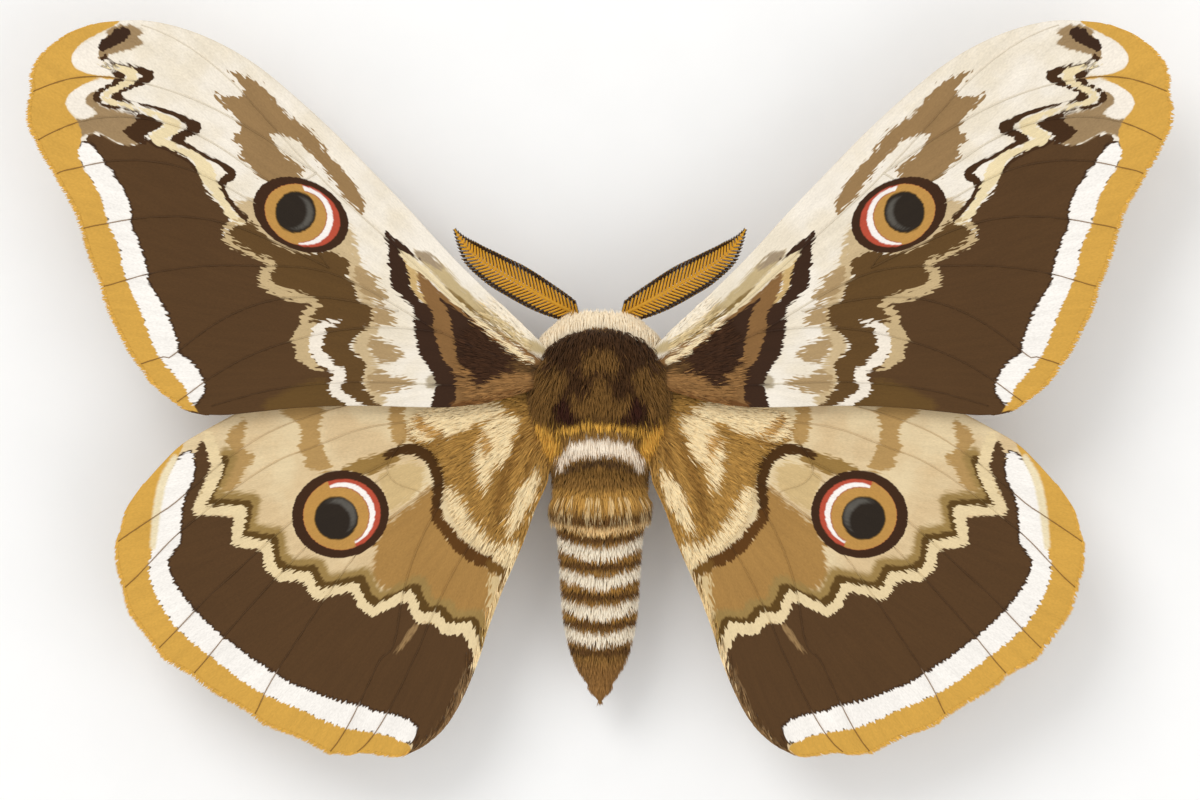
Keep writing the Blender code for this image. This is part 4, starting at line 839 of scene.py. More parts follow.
def wing_faces(wing, rows, columns):
    """The membrane's places and the heights of its two faces: the middle height, half the thickness that
    thins towards the rim, ridges along the front edge and along the veins outside the eye ring, and pleats
    between the veins."""
    out, back = np.meshgrid(np.linspace(0, 1, rows), np.linspace(0, 1, columns), indexing="ij")
    plan = wing_plan(wing, out, back)
    x, y = plan[..., 0], plan[..., 1]
    flat = plan.reshape(-1, 2)
    vein = np.full(len(flat), -9.0)
    for line in vein_lines(wing):
        places = wing_plan(wing, line[::3, 0], line[::3, 1])
        vein = np.maximum(vein, stroke(*[(*p, 0.0) for p in places])(flat))
    vein = vein.reshape(x.shape)
    reach = np.hypot(x - wing["root"][0], y - wing["root"][1])
    inside = np.clip(np.minimum(1 - out, np.minimum(back, 1 - back)) * 20, 0, 1)
    clear = np.clip(0.5 - 2 * wing["ring"](flat), 0, 1).reshape(x.shape)
    ridge = 0.16 * np.exp(-(vein / 0.38) ** 2) * clear + 0.1 * np.exp(-(back / 0.012) ** 2)
    pleat = 0.14 * np.clip(reach / 30, 0, 1) * (np.clip(-vein / 3.0, 0, 1) ** 2)
    middle = wing_height(wing, x, y)
    thick = 0.2 + 0.5 * np.exp(-((reach / 5.0) ** 2))
    upper = middle + thick / 2 * (0.3 + 0.7 * inside) + ridge * inside - pleat
    lower = middle - thick / 2 * (0.3 + 0.7 * inside) - ridge * 0.6 * inside - pleat
    return plan, upper, lower


def wing_surface(wing, rows=300, columns=120):
    """The wing's upper face as a surface for hair to grow on."""
    plan, upper, _ = wing_faces(wing, rows, columns)
    return Surface(np.concatenate([plan, upper[..., None]], axis=2))


def make_membranes(wing, rows, columns, upper_look, lower_look):
    """A left and a right wing: two faces of the same grid, joined round the rim. Each marking's depth is
    kept on the points, and a map holds the distance and the turn from the root, which is the lie of the
    scales."""
    plan, upper, lower = wing_faces(wing, rows, columns)
    flat = plan.reshape(-1, 2)
    count = len(flat)
    attributes = {}
    for name, _, _, _, shapes in wing["marks"]:
        depth = np.max([shape(flat) for shape in shapes], axis=0)
        attributes["mark_" + name] = np.tile(np.clip(depth, -3, 3), 2)
    away = flat - np.array(wing["root"])
    lie = np.stack([np.hypot(*away.T), np.arctan2(away[:, 1], away[:, 0])], axis=1)
    points = np.vstack([np.column_stack([flat, upper.ravel()]), np.column_stack([flat, lower.ravel()])])
    top = grid_quads(rows, columns)
    numbers = np.arange(count).reshape(rows, columns)
    rim = np.concatenate([numbers[:, 0], numbers[-1, 1:], numbers[-2::-1, -1], numbers[0, -2:0:-1]])
    after = np.roll(rim, -1)
    wall = np.stack([after, rim, rim + count, after + count], axis=1)
    quads = np.vstack([top, top[:, ::-1] + count, wall])
    faces_of = np.concatenate([np.zeros(len(top)), np.ones(len(top)), np.zeros(len(wall))])
    for side, sign in SIDES:
        piece = add_piece(f"{wing['name']}_{side}_membrane", *sided(sign, points, quads), attributes,
                          {"lie": np.tile(lie, (2, 1))}, (upper_look, lower_look), faces_of)
        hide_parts(f"{wing['name']}_{side}")


def wing_colours(wing, points, unevenness=0.0, draw=None):
    """Colours of a wing's markings at points."""
    return painted(points[:, :2], wing["ground"], wing["marks"], unevenness, draw)


def make_veins(wing, look):
    """The veins as fine tubes half sunk in the upper face, tapering outwards, and wholly sunk under the eye
    ring. They take a darker tone of the markings they cross, and brown where they cross the pale border."""
    surface = wing_surface(wing)
    shapes, colours = [], []
    borders = [shape for name, _, _, _, shapes in wing["marks"] for shape in shapes
               if name in ("ochre_border", "white_band", "white_lunules")]
    for line in vein_lines(wing):
        spine = surface.at(line[:, 0], line[:, 1])
        clear = np.clip(0.5 - 2 * wing["ring"](spine[:, :2]), 0, 1)
        spine[:, 2] += 0.07 * clear - 0.06
        shape = tube_between(spine, np.linspace(0.13, 0.075, len(spine)) * (0.25 + 0.75 * clear), 6)
        tone = wing_colours(wing, spine) * 0.8
        depth = np.max([rule(spine[:, :2]) for rule in borders], axis=0)
        border = np.clip(depth * 3 + 0.5, 0, 0.8)[:, None]
        tone = tone * (1 - border) + colour_of("7A5528") * border
        colours.append(np.vstack([np.repeat(tone, 6, axis=0), tone[:1], tone[-1:]]))
        shapes.append(shape)
    mesh = gather(shapes)
    for side, sign in SIDES:
        piece = add_piece(f"{wing['name']}_{side}_veins", *sided(sign, *mesh), {"coat": np.vstack(colours)},
                          materials=(look,))


# Materials

class Nodes:
    """Short calls for building one material's node tree."""

    def __init__(self, name):
        self.material = bpy.data.materials.new(name)
        self.material.use_nodes = True
        self.tree = self.material.node_tree
        self.shader = self.tree.nodes["Principled BSDF"]

    def put(self, socket, value):
        if isinstance(value, bpy.types.NodeSocket):
            self.tree.links.new(value, socket)
        elif value is not None:
            socket.default_value = value

    def node(self, kind, settings=None, **inputs):
        made = self.tree.nodes.new(kind)
        for key, value in (settings or {}).items():
            setattr(made, key, value)
        for key, value in inputs.items():
            self.put(made.inputs[key.replace("_", " ")], value)
        return made

    def math(self, operation, *values):
        made = self.tree.nodes.new("ShaderNodeMath")
        made.operation = operation
        for socket, value in zip(made.inputs, values):
            self.put(socket, value)
        return made.outputs[0]

    def attribute(self, name, output="Fac"):
        made = self.tree.nodes.new("ShaderNodeAttribute")
        made.attribute_name = name
        return made.outputs[output]

    def mix(self, factor, first, second, blend="MIX"):
        made = self.tree.nodes.new("ShaderNodeMix")
        made.data_type = "RGBA"
        made.blend_type = blend
        self.put(made.inputs[0], factor)
        self.put(made.inputs[6], first)
        self.put(made.inputs[7], second)
        return made.outputs[2]

    def blend(self, factor, first, second):
        made = self.tree.nodes.new("ShaderNodeMix")
        self.put(made.inputs[0], factor)
        self.put(made.inputs[2], first)
        self.put(made.inputs[3], second)
        return made.outputs[0]

    def toned(self, colour, tone):
        """The colour times a grey tone."""
        grey = self.node("ShaderNodeCombineColor", Red=tone, Green=tone, Blue=tone).outputs[0]
        return self.mix(1.0, colour, grey, "MULTIPLY")

    def ramp(self, value, low, high):
        return self.node("ShaderNodeMapRange", {"interpolation_type": "SMOOTHSTEP"}, Value=value,
                         From_Min=low, From_Max=high).outputs[0]

    def noise(self, vector, scale, detail):
        return self.node("ShaderNodeTexNoise", Vector=vector, Scale=scale, Detail=detail).outputs["Fac"]

    def object_place(self):
        return self.tree.nodes.new("ShaderNodeTexCoord").outputs["Object"]

    def bump(self, height, strength, distance):
        made = self.node("ShaderNodeBump", Height=height, Strength=strength, Distance=distance)
        self.put(self.shader.inputs["Normal"], made.outputs[0])

    def finish(self, colour, roughness, specular, sheen=0.0):
        for key, value in (("Base Color", colour), ("Roughness", roughness), ("Specular IOR Level", specular),
                           ("Sheen Weight", sheen), ("Sheen Roughness", 0.4),
                           ("Sheen Tint", (1.0, 0.95, 0.85, 1.0))):
            self.put(self.shader.inputs[key], value)
        return self.material


def paint(code):
    return (*colour_of(code), 1.0)


def lie_noises(n):
    """Noise drawn out along the lie of the scales. The turn is stretched by one of three lengths, by the
    distance from the root, so that the grain keeps about the same size all over the wing."""
    spot = n.node("ShaderNodeUVMap", {"uv_map": "lie"}).outputs[0]
    parts = n.node("ShaderNodeSeparateXYZ", Vector=spot)
    reach, turn = parts.outputs[0], parts.outputs[1]
    near = n.ramp(reach, 13.0, 19.0)
    far = n.ramp(reach, 30.0, 38.0)

    def drawn(length, width, detail):
        values = []
        for radius in (12.0, 24.0, 48.0):
            place = n.node("ShaderNodeCombineXYZ", X=n.math("MULTIPLY", reach, 1 / length),
                           Y=n.math("MULTIPLY", turn, radius / width), Z=radius)
            values.append(n.noise(place.outputs[0], 1.0, detail))
        return n.blend(far, n.blend(near, values[0], values[1]), values[2])

    return drawn


def scale_material(wing, below):
    """Powdery scales: the ground, then each marking where its depth, made ragged by drawn-out noise, is
    above zero. A fine grain changes the tone of each scale and raises it a little."""
    n = Nodes(wing["name"] + ("_underside" if below else "_scales"))
    drawn = lie_noises(n)
    ragged = n.math("SUBTRACT", drawn(1.5, 0.30, 1.0), 0.5)
    grain = drawn(0.42, 0.16, 1.0)
    streak = drawn(6.0, 0.7, 2.0)
    cloud = n.noise(n.object_place(), 160.0, 3.0)
    colour = n.mix(n.ramp(cloud, 0.35, 0.65), paint(wing["ground"]), paint(wing["second_ground"]))
    for name, code, soft, rag, _ in wing["marks"]:
        depth = n.math("MULTIPLY_ADD", ragged, rag * 3.0, n.attribute("mark_" + name))
        colour = n.mix(n.ramp(depth, -soft, soft), colour, paint(code))
    tone = 0.90
    for pattern, amount in ((grain, 0.28), (streak, 0.22), (cloud, 0.12)):
        tone = n.math("MULTIPLY_ADD", n.math("SUBTRACT", pattern, 0.5), amount, tone)
    colour = n.toned(colour, tone)
    if below:
        colour = n.mix(0.35, colour, paint("B9A286"))
    n.bump(n.math("ADD", grain, n.math("MULTIPLY", streak, 0.5)), 0.35, 0.00006)
    return n.finish(colour, 0.85, 0.2, 0.15)


def coat_material(name, roughness=0.9, sheen=0.2):
    """Fur: the colour kept on its points, with a little tone from tuft to tuft."""
    n = Nodes(name)
    tone = n.math("MULTIPLY_ADD", n.noise(n.object_place(), 2500.0, 2.0), 0.3, 0.86)
    return n.finish(n.toned(n.attribute("coat", "Color"), tone), roughness, 0.2, sheen)


def horn_material(name, dark, light, scale, roughness):
    """Horn or bare skin: two tones mixed by noise, with a fine grain in its relief."""
    n = Nodes(name)
    place = n.object_place()
    patch = n.ramp(n.noise(place, scale, 4.0), 0.35, 0.65)
    n.bump(n.noise(place, scale * 6, 2.0), 0.2, 0.00004)
    return n.finish(n.mix(patch, paint(dark), paint(light)), roughness, 0.4)


def facet_material(name):
    """Compound eye: rows of small round facets, near black with brown between them."""
    n = Nodes(name)
    cells = n.node("ShaderNodeTexVoronoi", {"feature": "F1"}, Vector=n.object_place(), Scale=7500.0,
                   Randomness=0.25)
    edge = n.ramp(cells.outputs["Distance"], 0.35, 0.7)
    n.bump(cells.outputs["Distance"], 0.6, 0.00004)
    n.shader.inputs["Coat Weight"].default_value = 0.3
    n.shader.inputs["Coat Roughness"].default_value = 0.15
    return n.finish(n.mix(edge, paint("150D08"), paint("3E2816")), 0.4, 0.35)


def floor_material(name, code):
    """Pale matt card with hardly visible fibres."""
    n = Nodes(name)
    fibre = n.noise(n.object_place(), 90.0, 4.0)
    colour = n.mix(n.ramp(fibre, 0.3, 0.7), code, tuple(0.985 * c for c in code[:3]) + (1.0,))
    return n.finish(colour, 0.9, 0.1)


# Body

# Skin: (along, height) of the top and of the bottom of each ring, its half width, and how much wider it
# is above its middle than below, face to tail
SKIN_RINGS = (
    (-9.5, 8.5, -9.4, 7.9, 0.5, 0.0),
    (-9.5, 9.4, -8.9, 7.2, 1.6, 0.0),
    (-9.3, 10.4, -8.1, 6.9, 2.3, 0.0),
    (-9.1, 11.3, -7.1, 6.8, 2.6, 0.1),
    (-9.3, 12.4, -6.3, 6.7, 2.6, 0.6),
    (-9.0, 13.8, -5.7, 6.5, 3.4, 0.6),
    (-7.9, 15.5, -4.7, 6.1, 5.1, 0.35),
    (-5.6, 17.1, -3.3, 5.8, 7.3, 0.2),
    (-1.0, 18.1, -0.5, 5.7, 8.0, 0.12),
    (3.0, 17.8, 3.0, 5.7, 7.9, 0.1),
    (6.0, 16.6, 6.0, 5.8, 7.0, 0.08),
    (8.6, 15.6, 8.4, 6.0, 6.1, 0.05),
    (12.0, 15.4, 11.8, 5.7, 5.8, 0.0),
    (16.0, 14.9, 16.0, 5.5, 5.6, 0.0),
    (20.0, 14.2, 20.0, 5.3, 5.0, 0.0),
    (26.0, 13.2, 26.0, 5.1, 4.6, 0.0),
    (31.0, 12.2, 31.0, 4.9, 4.2, 0.0),
    (35.0, 11.0, 35.0, 5.3, 3.3, 0.0),
    (38.2, 9.5, 38.2, 5.9, 2.0, 0.0),
    (40.2, 8.0, 40.2, 6.6, 0.7, 0.0),
    (40.6, 7.5, 40.6, 7.0, 0.25, 0.0),
)
SKIN_ROWS = 220
SKIN_COLUMNS = 80
# Ground colours of the back and of the flanks
BACK = "3E260F"
FLANK = "5E4327"


def skin_surface():
    """The body's skin. A ring is an egg: its upright half axis runs from the middle of the top and bottom
    points to the top, and its half width is widened by a share of the cosine of the turn from the top.
    Rings follow a smooth curve."""
    rings = curve_through(np.array(SKIN_RINGS), np.linspace(0, 1, SKIN_ROWS))
    turn = np.linspace(0, 2 * math.pi, SKIN_COLUMNS)
    top, bottom, half, egg = rings[:, 0:2], rings[:, 2:4], rings[:, 4], rings[:, 5]
    middle, upright = (top + bottom) / 2, (top - bottom) / 2
    x = half[:, None] * np.sin(turn) * (1 + egg[:, None] * np.cos(turn))
    yz = middle[:, None] + upright[:, None] * np.cos(turn)[None, :, None]
    return Surface(np.concatenate([x[..., None], yz], axis=2), wraps=True)


def from_top(around):
    """Share of a full turn between a place and the top of the body, at most a half."""
    return np.minimum(around % 1.0, 1 - around % 1.0)


def body_colour(points, around, draw, unevenness=0.25):
    """Colours of the body at points: the markings and their painted shadows as seen from above on the back,
    fading on the flanks to brown with the same pale rings and painted shadows on the abdomen."""
    upper = painted(points[:, :2], BACK, BODY_MARKS, unevenness, draw)
    beside = np.column_stack([np.full(len(points), 3.4), points[:, 1]])
    rings = painted(beside, FLANK, ABDOMEN_MARKS, unevenness, draw)
    share = np.clip((from_top(around) - 0.28) / 0.1, 0, 1)[:, None]
    front = np.clip((-points[:, 1] - 3.0) / 3.0, 0, 1)[:, None]
    flank = rings * (1 - front) + colour_of("6A4A2B") * front
    flank = flank * 0.85 + colour_of("A98456") * 0.15
    return upper * (1 - share) + flank * share


def ahead_of_parting(points):
    """Whether points lie in front of the arc that parts the ruff from the fur of the back."""
    return points[:, 1] < -7.6 + 0.06 * points[:, 0] ** 2


def tone_spread(count, draw, amount):
    """Brightness factors that differ from tuft to tuft."""
    return np.exp(draw.normal(0, amount, count))[:, None]


# Settings

class MothWingSettings(bpy.types.PropertyGroup):
    """How finely the wings and their hair are made."""

    rows: IntProperty(name="Rows out", description="Grid rows from the root to the margin", default=256,
                      min=40, max=600)
    columns: IntProperty(name="Rows back", description="Grid rows from the front to the rear edge",
                         default=100, min=30, max=300)
    fringe_length: FloatProperty(name="Fringe length", description="Length of the hair on the margin",
                                 default=0.0009, subtype="DISTANCE", unit="LENGTH")
    root_hairs: IntProperty(name="Root hairs", description="Tufts on the root of one hindwing", default=5200,
                            min=0, max=12000)


class MothCoatSettings(bpy.types.PropertyGroup):
    """Number and size of the tufts on the body."""

    thorax_tufts: IntProperty(name="Thorax tufts", description="Tufts on each half of the thorax",
                              default=11500, min=100, max=12400)
    abdomen_tufts: IntProperty(name="Abdomen tufts", description="Tufts on each half of the abdomen",
                               default=11500, min=100, max=12400)
    thorax_length: FloatProperty(name="Thorax hair", description="Length of the tufts on the back",
                                 default=0.0024, subtype="DISTANCE", unit="LENGTH")
    abdomen_length: FloatProperty(name="Abdomen hair", description="Length of the tufts on the abdomen",
                                  default=0.0016, subtype="DISTANCE", unit="LENGTH")
    tuft_width: FloatProperty(name="Tuft width", description="Width of a tuft at its widest",
                              default=0.00021, subtype="DISTANCE", unit="LENGTH")


class MothAntennaSettings(bpy.types.PropertyGroup):
    """The feathered antennae."""

    rays: IntProperty(name="Rays", description="Rays on each side of an antenna", default=36, min=4, max=60)
    ray_length: FloatProperty(name="Ray length", description="Length of the longest ray", default=0.0029,
                              subtype="DISTANCE", unit="LENGTH")
    colour: FloatVectorProperty(name="Colour", description="Colour of the shaft and rays", subtype="COLOR",
                                size=4, default=paint("D39A2C"), min=0.0, max=1.0)


class MothStageSettings(bpy.types.PropertyGroup):
    """Floor, light and camera."""

    floor: FloatVectorProperty(name="Floor", description="Colour of the floor", subtype="COLOR", size=4,
                               default=(0.96, 0.96, 0.955, 1.0), min=0.0, max=1.0)
    lens: FloatProperty(name="Lens", description="Focal length in millimetres", default=170.0)
    frame_width: FloatProperty(name="Frame width", description="Width of the view at the wings",
                               default=0.1579, subtype="DISTANCE", unit="LENGTH")
    light: FloatProperty(name="Light", description="Strength of the light from all sides", default=0.78)


def settings(name):
    return getattr(bpy.context.scene, name)


# Operators

class MothOperator:
    """Shared settings of the operators."""

    bl_options = {"REGISTER", "UNDO"}


class MOTH_OT_wings(MothOperator, bpy.types.Operator):
    """Make the four patterned wing membranes"""

    bl_idname = "moth.wings"
    bl_label = "Wings"

    def execute(self, context):
        wants = settings("moth_wings")
        for wing in (FOREWING, HINDWING):
            make_membranes(wing, wants.rows, wants.columns, scale_material(wing, False),
                           scale_material(wing, True))
            make_veins(wing, coat_material(wing["name"] + "_veins", 0.7, 0.0))
        return {"FINISHED"}


class MOTH_OT_wing_hair(MothOperator, bpy.types.Operator):
    """Make the fringe along the wings' edges and the long hair on their roots"""

    bl_idname = "moth.wing_hair"
    bl_label = "Wing hair"

    def execute(self, context):
        wants = settings("moth_wings")
        look = coat_material("wing_hair")
        for wing in (FOREWING, HINDWING):
            surface = wing_surface(wing)
            name, slot = wing["name"], wing["name"] + "_scales"
            for side in ("left", "right"):
                draw = np.random.default_rng(SEED + len(name) + (side == "left"))
                self.fringe(wing, surface, side, wants.fringe_length / MM, look, slot, draw)
                self.root_hair(wing, surface, side, wants.root_hairs, look, slot, draw)
        return {"FINISHED"}

    def fringe(self, wing, surface, side, length, look, slot, draw):
        """Short scales that stand out past the margin, and hair past the hindwing's inner edge."""
        count = 1500
        back = np.sort(draw.random(count))
        along = np.full(count, 0.996)
        sizes = length * draw.uniform(0.5, 1.1, count)
        lie = (1.0, draw.normal(0, 0.25, count))
        points = surface.at(np.full(count, 0.985), back)
        colours = wing_colours(wing, points) * tone_spread(count, draw, 0.12) * 0.8
        tufts(f"{wing['name']}_{side}_fringe", surface, along, back, lie, sizes, np.full(count, 0.05), 0.16,
              colours, look, sink=0.05, rings=2, root_shade=0.85, mirror=side == "right")
        if wing["name"] == "hindwing":
            count = 2600
            along = draw.random(count) ** 0.8 * 0.93 + 0.05
            back = np.clip(1 - np.abs(draw.normal(0, 0.012, count)), 0, 1)
            sizes = draw.uniform(1.2, 2.8, count)
            lie = (1.0, draw.uniform(0.1, 0.5, count))
            colours = wing_colours(wing, surface.at(along, back), 0.5, draw)
            colours *= tone_spread(count, draw, 0.18)
            tufts(f"hindwing_{side}_edge_hair", surface, along, back, lie, sizes,
                  draw.uniform(-0.3, 0.4, count), 0.17, colours, look, sink=0.05, rings=2,
                  mirror=side == "right")

    def root_hair(self, wing, surface, side, count, look, slot, draw):
        """Hair that lies on the wing from its root outwards, thinning with the distance from the root."""
        fore = wing["name"] == "forewing"
        reach = 9.0 if fore else 19.0
        count = count // 3 if fore else count

        def weight(points, along, back):
            away = np.hypot(points[:, 0] - wing["root"][0], points[:, 1] - wing["root"][1])
            inside = (along > 0.04) if fore else (HIND_ROOT(points[:, :2]) > 1.2)
            return np.clip(1.2 - away / reach, 0, 1) ** 0.6 * inside

        along, back = surface.scatter(count, weight, draw)
        sizes = draw.uniform(1.8, 3.4, count) * (0.8 if fore else 1.0)
        if not fore:
            sizes *= np.clip(HIND_ROOT(surface.at(along, back)[:, :2]) / 3.2, 0.45, 1)
        lie = (1.0, draw.normal(0, 0.12, count))
        speed, _ = surface.speeds(along, back)
        colours = wing_colours(wing, surface.at(along + 0.7 * sizes / speed, back), 0.2, draw)
        colours *= tone_spread(count, draw, 0.14)
        tufts(f"{wing['name']}_{side}_root_hair", surface, along, back, lie, sizes,
              draw.uniform(0.1, 0.3 if fore else 0.5, count), 0.2, colours, look, sink=0.1, rings=2,
              root_shade=0.7, mirror=side == "right")


class MOTH_OT_body(MothOperator, bpy.types.Operator):
    """Make the skin of the head, thorax and abdomen, and the fur that covers it"""

    bl_idname = "moth.body"
    bl_label = "Body and fur"

    def execute(self, context):
        wants = settings("moth_coat")
        skin = skin_surface()
        draw = np.random.default_rng(SEED)
        look = coat_material("body_fur")
        self.skin(skin, coat_material("skin", 0.8, 0.0), draw)
        width = wants.tuft_width / MM
        thorax = wants.thorax_length / MM
        for name, low, high in (("upper", 0.0, 0.25), ("lower", 0.25, 0.5)):
            self.coat(f"thorax_{name}_fur", skin, wants.thorax_tufts, (-8.4, 9.2), (low, high), thorax, 1.3,
                      width, look, "thorax_fur", draw)
            self.coat(f"abdomen_{name}_fur", skin, wants.abdomen_tufts, (8.6, 39.7), (low, high),
                      wants.abdomen_length / MM, 0.9, width * 0.95, look, "abdomen_fur", draw)
        self.collar(skin, look, draw, width)
        self.shoulders(skin, look, draw, width)
        self.rear_fringe(skin, look, draw, width)
        self.face(skin, look, draw, width)
        return {"FINISHED"}

    def skin(self, skin, look, draw):
        rows, columns = SKIN_ROWS, SKIN_COLUMNS - 1
        grid = skin.grid[:, :-1]
        points = np.vstack([grid.reshape(-1, 3), grid[0].mean(axis=0), grid[-1].mean(axis=0)])
        around = np.concatenate([np.tile(np.arange(columns) / columns, rows), [0, 0]])
        along = np.concatenate([np.repeat(np.arange(rows) / (rows - 1), columns), [0, 1]])
        colours = body_colour(points, around, draw) * 0.6
        piece = add_piece("body_skin", points, *closed_faces(rows, columns), {"coat": colours},
                          {"OFBake": np.stack([around, along], axis=1)}, (look,))
        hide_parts("thorax", "abdomen", "head")

    def coat(self, name, skin, count, stretch, band, length, rise, width, look, slot, draw):
        """Fur that lies towards the tail over one stretch of the body, on the upper or the lower half."""

        def weight(points, along, around):
            side = from_top(around)
            inside = (side >= band[0]) & (side < band[1]) & ~ahead_of_parting(points + (0, 0.5, 0))
            return inside * (points[:, 1] > stretch[0]) * (points[:, 1] < stretch[1]) * (along > 0.12)

        along, around = skin.scatter(count, weight, draw)
        sizes = length * draw.uniform(0.7, 1.15, count)
        lie = (1.0, draw.normal(0, 0.16, count))
        roots = skin.at(along, around)
        lift = rise * draw.uniform(0.35, 1.0, count) * np.clip((41.5 - roots[:, 1]) / 6, 0.25, 1)
        speed, _ = skin.speeds(along, around)
        shown = skin.at(np.minimum(along + 0.85 * sizes / speed, 1), around)
        colours = body_colour(shown, around, draw, 0.12) * tone_spread(count, draw, 0.12)
        tufts(name, skin, along, around, lie, sizes, lift, width, colours, look,
              rings=2 if band[0] else 3)

    def collar(self, skin, look, draw, width):
        """The pale ruff: hair parted on an arc round the front of the thorax, its front half lying forwards
        over the neck."""
        count = 8000

        def weight(points, along, around):
            return ahead_of_parting(points - (0, 0.3, 0)) * (along > 0.135) * (from_top(around) < 0.4)

        along, around = skin.scatter(count, weight, draw)
        sizes = draw.uniform(1.3, 2.8, count)
        lie = (-1.0, draw.normal(0, 0.2, count))
        cream = colour_of("F3E2C4") * tone_spread(count, draw, 0.07)
        brown = colour_of("7A5A38") * tone_spread(count, draw, 0.15)
        share = np.clip((from_top(around) - 0.29) / 0.05, 0, 1)[:, None]
        tufts("collar_fur", skin, along, around, lie, sizes, draw.uniform(0.5, 1.7, count), width,
              cream * (1 - share) + brown * share, look)

    def shoulders(self, skin, look, draw, width):
        """Long locks from the upper flanks over the roots of the wings."""
        count = 4200

        def weight(points, along, around):
            side = from_top(around)
            return (side > 0.12) * (side < 0.24) * (points[:, 1] > -4.5) * (points[:, 1] < 6.5)

        along, around = skin.scatter(count, weight, draw)
        sizes = draw.uniform(2.4, 3.8, count)
        outwards = np.where(around % 1.0 < 0.5, 1.0, -1.0)
        lie = (draw.uniform(0.7, 1.0, count), outwards * draw.uniform(0.0, 0.3, count))
        roots = skin.at(along, around)
        colours = body_colour(roots * (1.06, 1, 1) + (0, 0.8, 0), around, draw)
        tufts("shoulder_locks", skin, along, around, lie, sizes, draw.uniform(1.0, 2.0, count), width,
              colours * tone_spread(count, draw, 0.14), look)

    def rear_fringe(self, skin, look, draw, width):
        """Longer locks at the rear of the thorax and of the abdomen's furred front rings, and the pointed
        tuft of the tail."""
        count = 5400

        def weight(points, along, around):
            y = points[:, 1]
            bands = ((y > 5.5) & (y < 8.5)) | ((y > 13.5) & (y < 15.6))
            return bands * (from_top(around) < 0.3) | (y > 38.8)

        along, around = skin.scatter(count, weight, draw)
        tail = skin.at(along, around)[:, 1] > 38
        sizes = draw.uniform(2.2, 3.4, count) * np.where(tail, 0.5, 1.0)
        lie = (1.0, draw.normal(0, 0.1, count))
        speed, _ = skin.speeds(along, around)
        shown = skin.at(np.minimum(along + 0.8 * sizes / speed, 1), around)
        colours = body_colour(shown, around, draw, 0.15) * tone_spread(count, draw, 0.1)
        streak = (np.sin(around * 150 + 2 * np.sin(around * 47)) > 0.45) & (shown[:, 1] > 15.0) & ~tail
        colours[streak] = colours[streak] * 0.5 + colour_of("E9CF9C") * 0.5
        rise = draw.uniform(0.9, 1.6, count) * np.where(tail, 0.55, 1.0)
        tufts("rear_locks", skin, along, around, lie, sizes, rise, width, colours, look)

    def face(self, skin, look, draw, width):
        """Short hair over the head, lying forwards and down, clear of the eyes."""
        count = 6000
        eye = np.array(EYE_MIDDLE)

        def weight(points, along, around):
            away = np.linalg.norm(points * np.where(points[:, :1] < 0, (-1, 1, 1), (1, 1, 1)) - eye, axis=1)
            return (along < 0.16) * (away > 1.5)

        along, around = skin.scatter(count, weight, draw)
        sizes = draw.uniform(0.5, 1.1, count)
        lie = (-1.0, draw.normal(0, 0.25, count))
        colours = np.where((from_top(around) < 0.12)[:, None], colour_of("8A6840"), colour_of("5A3E24"))
        colours = colours * tone_spread(count, draw, 0.18)
        tufts("face_fur", skin, along, around, lie, sizes, draw.uniform(0.15, 0.5, count), width * 0.7,
              colours, look, sink=0.12, rings=2)


def evenly(points, along, around):
    """The same weight for every place of a surface."""
    return np.ones(len(points))


def bone(ends, radii):
    """One straight length of a leg or palp, a little fuller before its middle."""
    shares = np.linspace(0, 1, 16)
    line = ends[0] + shares[:, None] * (ends[1] - ends[0])
    swell = 1 + 0.15 * np.sin(np.pi * shares ** 0.8)
    caps = np.minimum(1, np.sqrt(np.clip(1 - (2 * shares - 1) ** 8, 0, 1)) + 0.25)
    return tube_between(line, (radii[0] + shares * (radii[1] - radii[0])) * swell * caps, 14,
                        up=(0.1, 0.05, 1.0))


def sleeve(ends, radii):
    """One straight length of a leg or palp as a surface for fur, from its root to its tip."""
    shares = np.linspace(0.02, 0.98, 24)
    line = ends[0] + shares[:, None] * (ends[1] - ends[0])
    ahead = (ends[1] - ends[0]) / np.linalg.norm(ends[1] - ends[0])
    across = np.cross(ahead, (0.1, 0.05, 1.0))
    across /= np.linalg.norm(across)
    over = np.cross(across, ahead)
    turn = np.linspace(0, 2 * math.pi, 25)
    radius = (radii[0] + shares * (radii[1] - radii[0]))[:, None, None]
    ring = np.sin(turn)[:, None] * across + np.cos(turn)[:, None] * over
    return Surface(line[:, None] + radius * ring[None], wraps=True)


EYE_MIDDLE = (2.5, -8.3, 9.6)
EYE_RADII = (1.25, 1.3, 1.6)
EYE_ROWS = 38
EYE_COLUMNS = 72
# Root, bend and tip of the left palp, and its radius at each
PALP = (((0.75, -8.1, 7.3), 0.5), ((0.8, -9.0, 6.9), 0.45), ((0.75, -9.5, 7.2), 0.3))


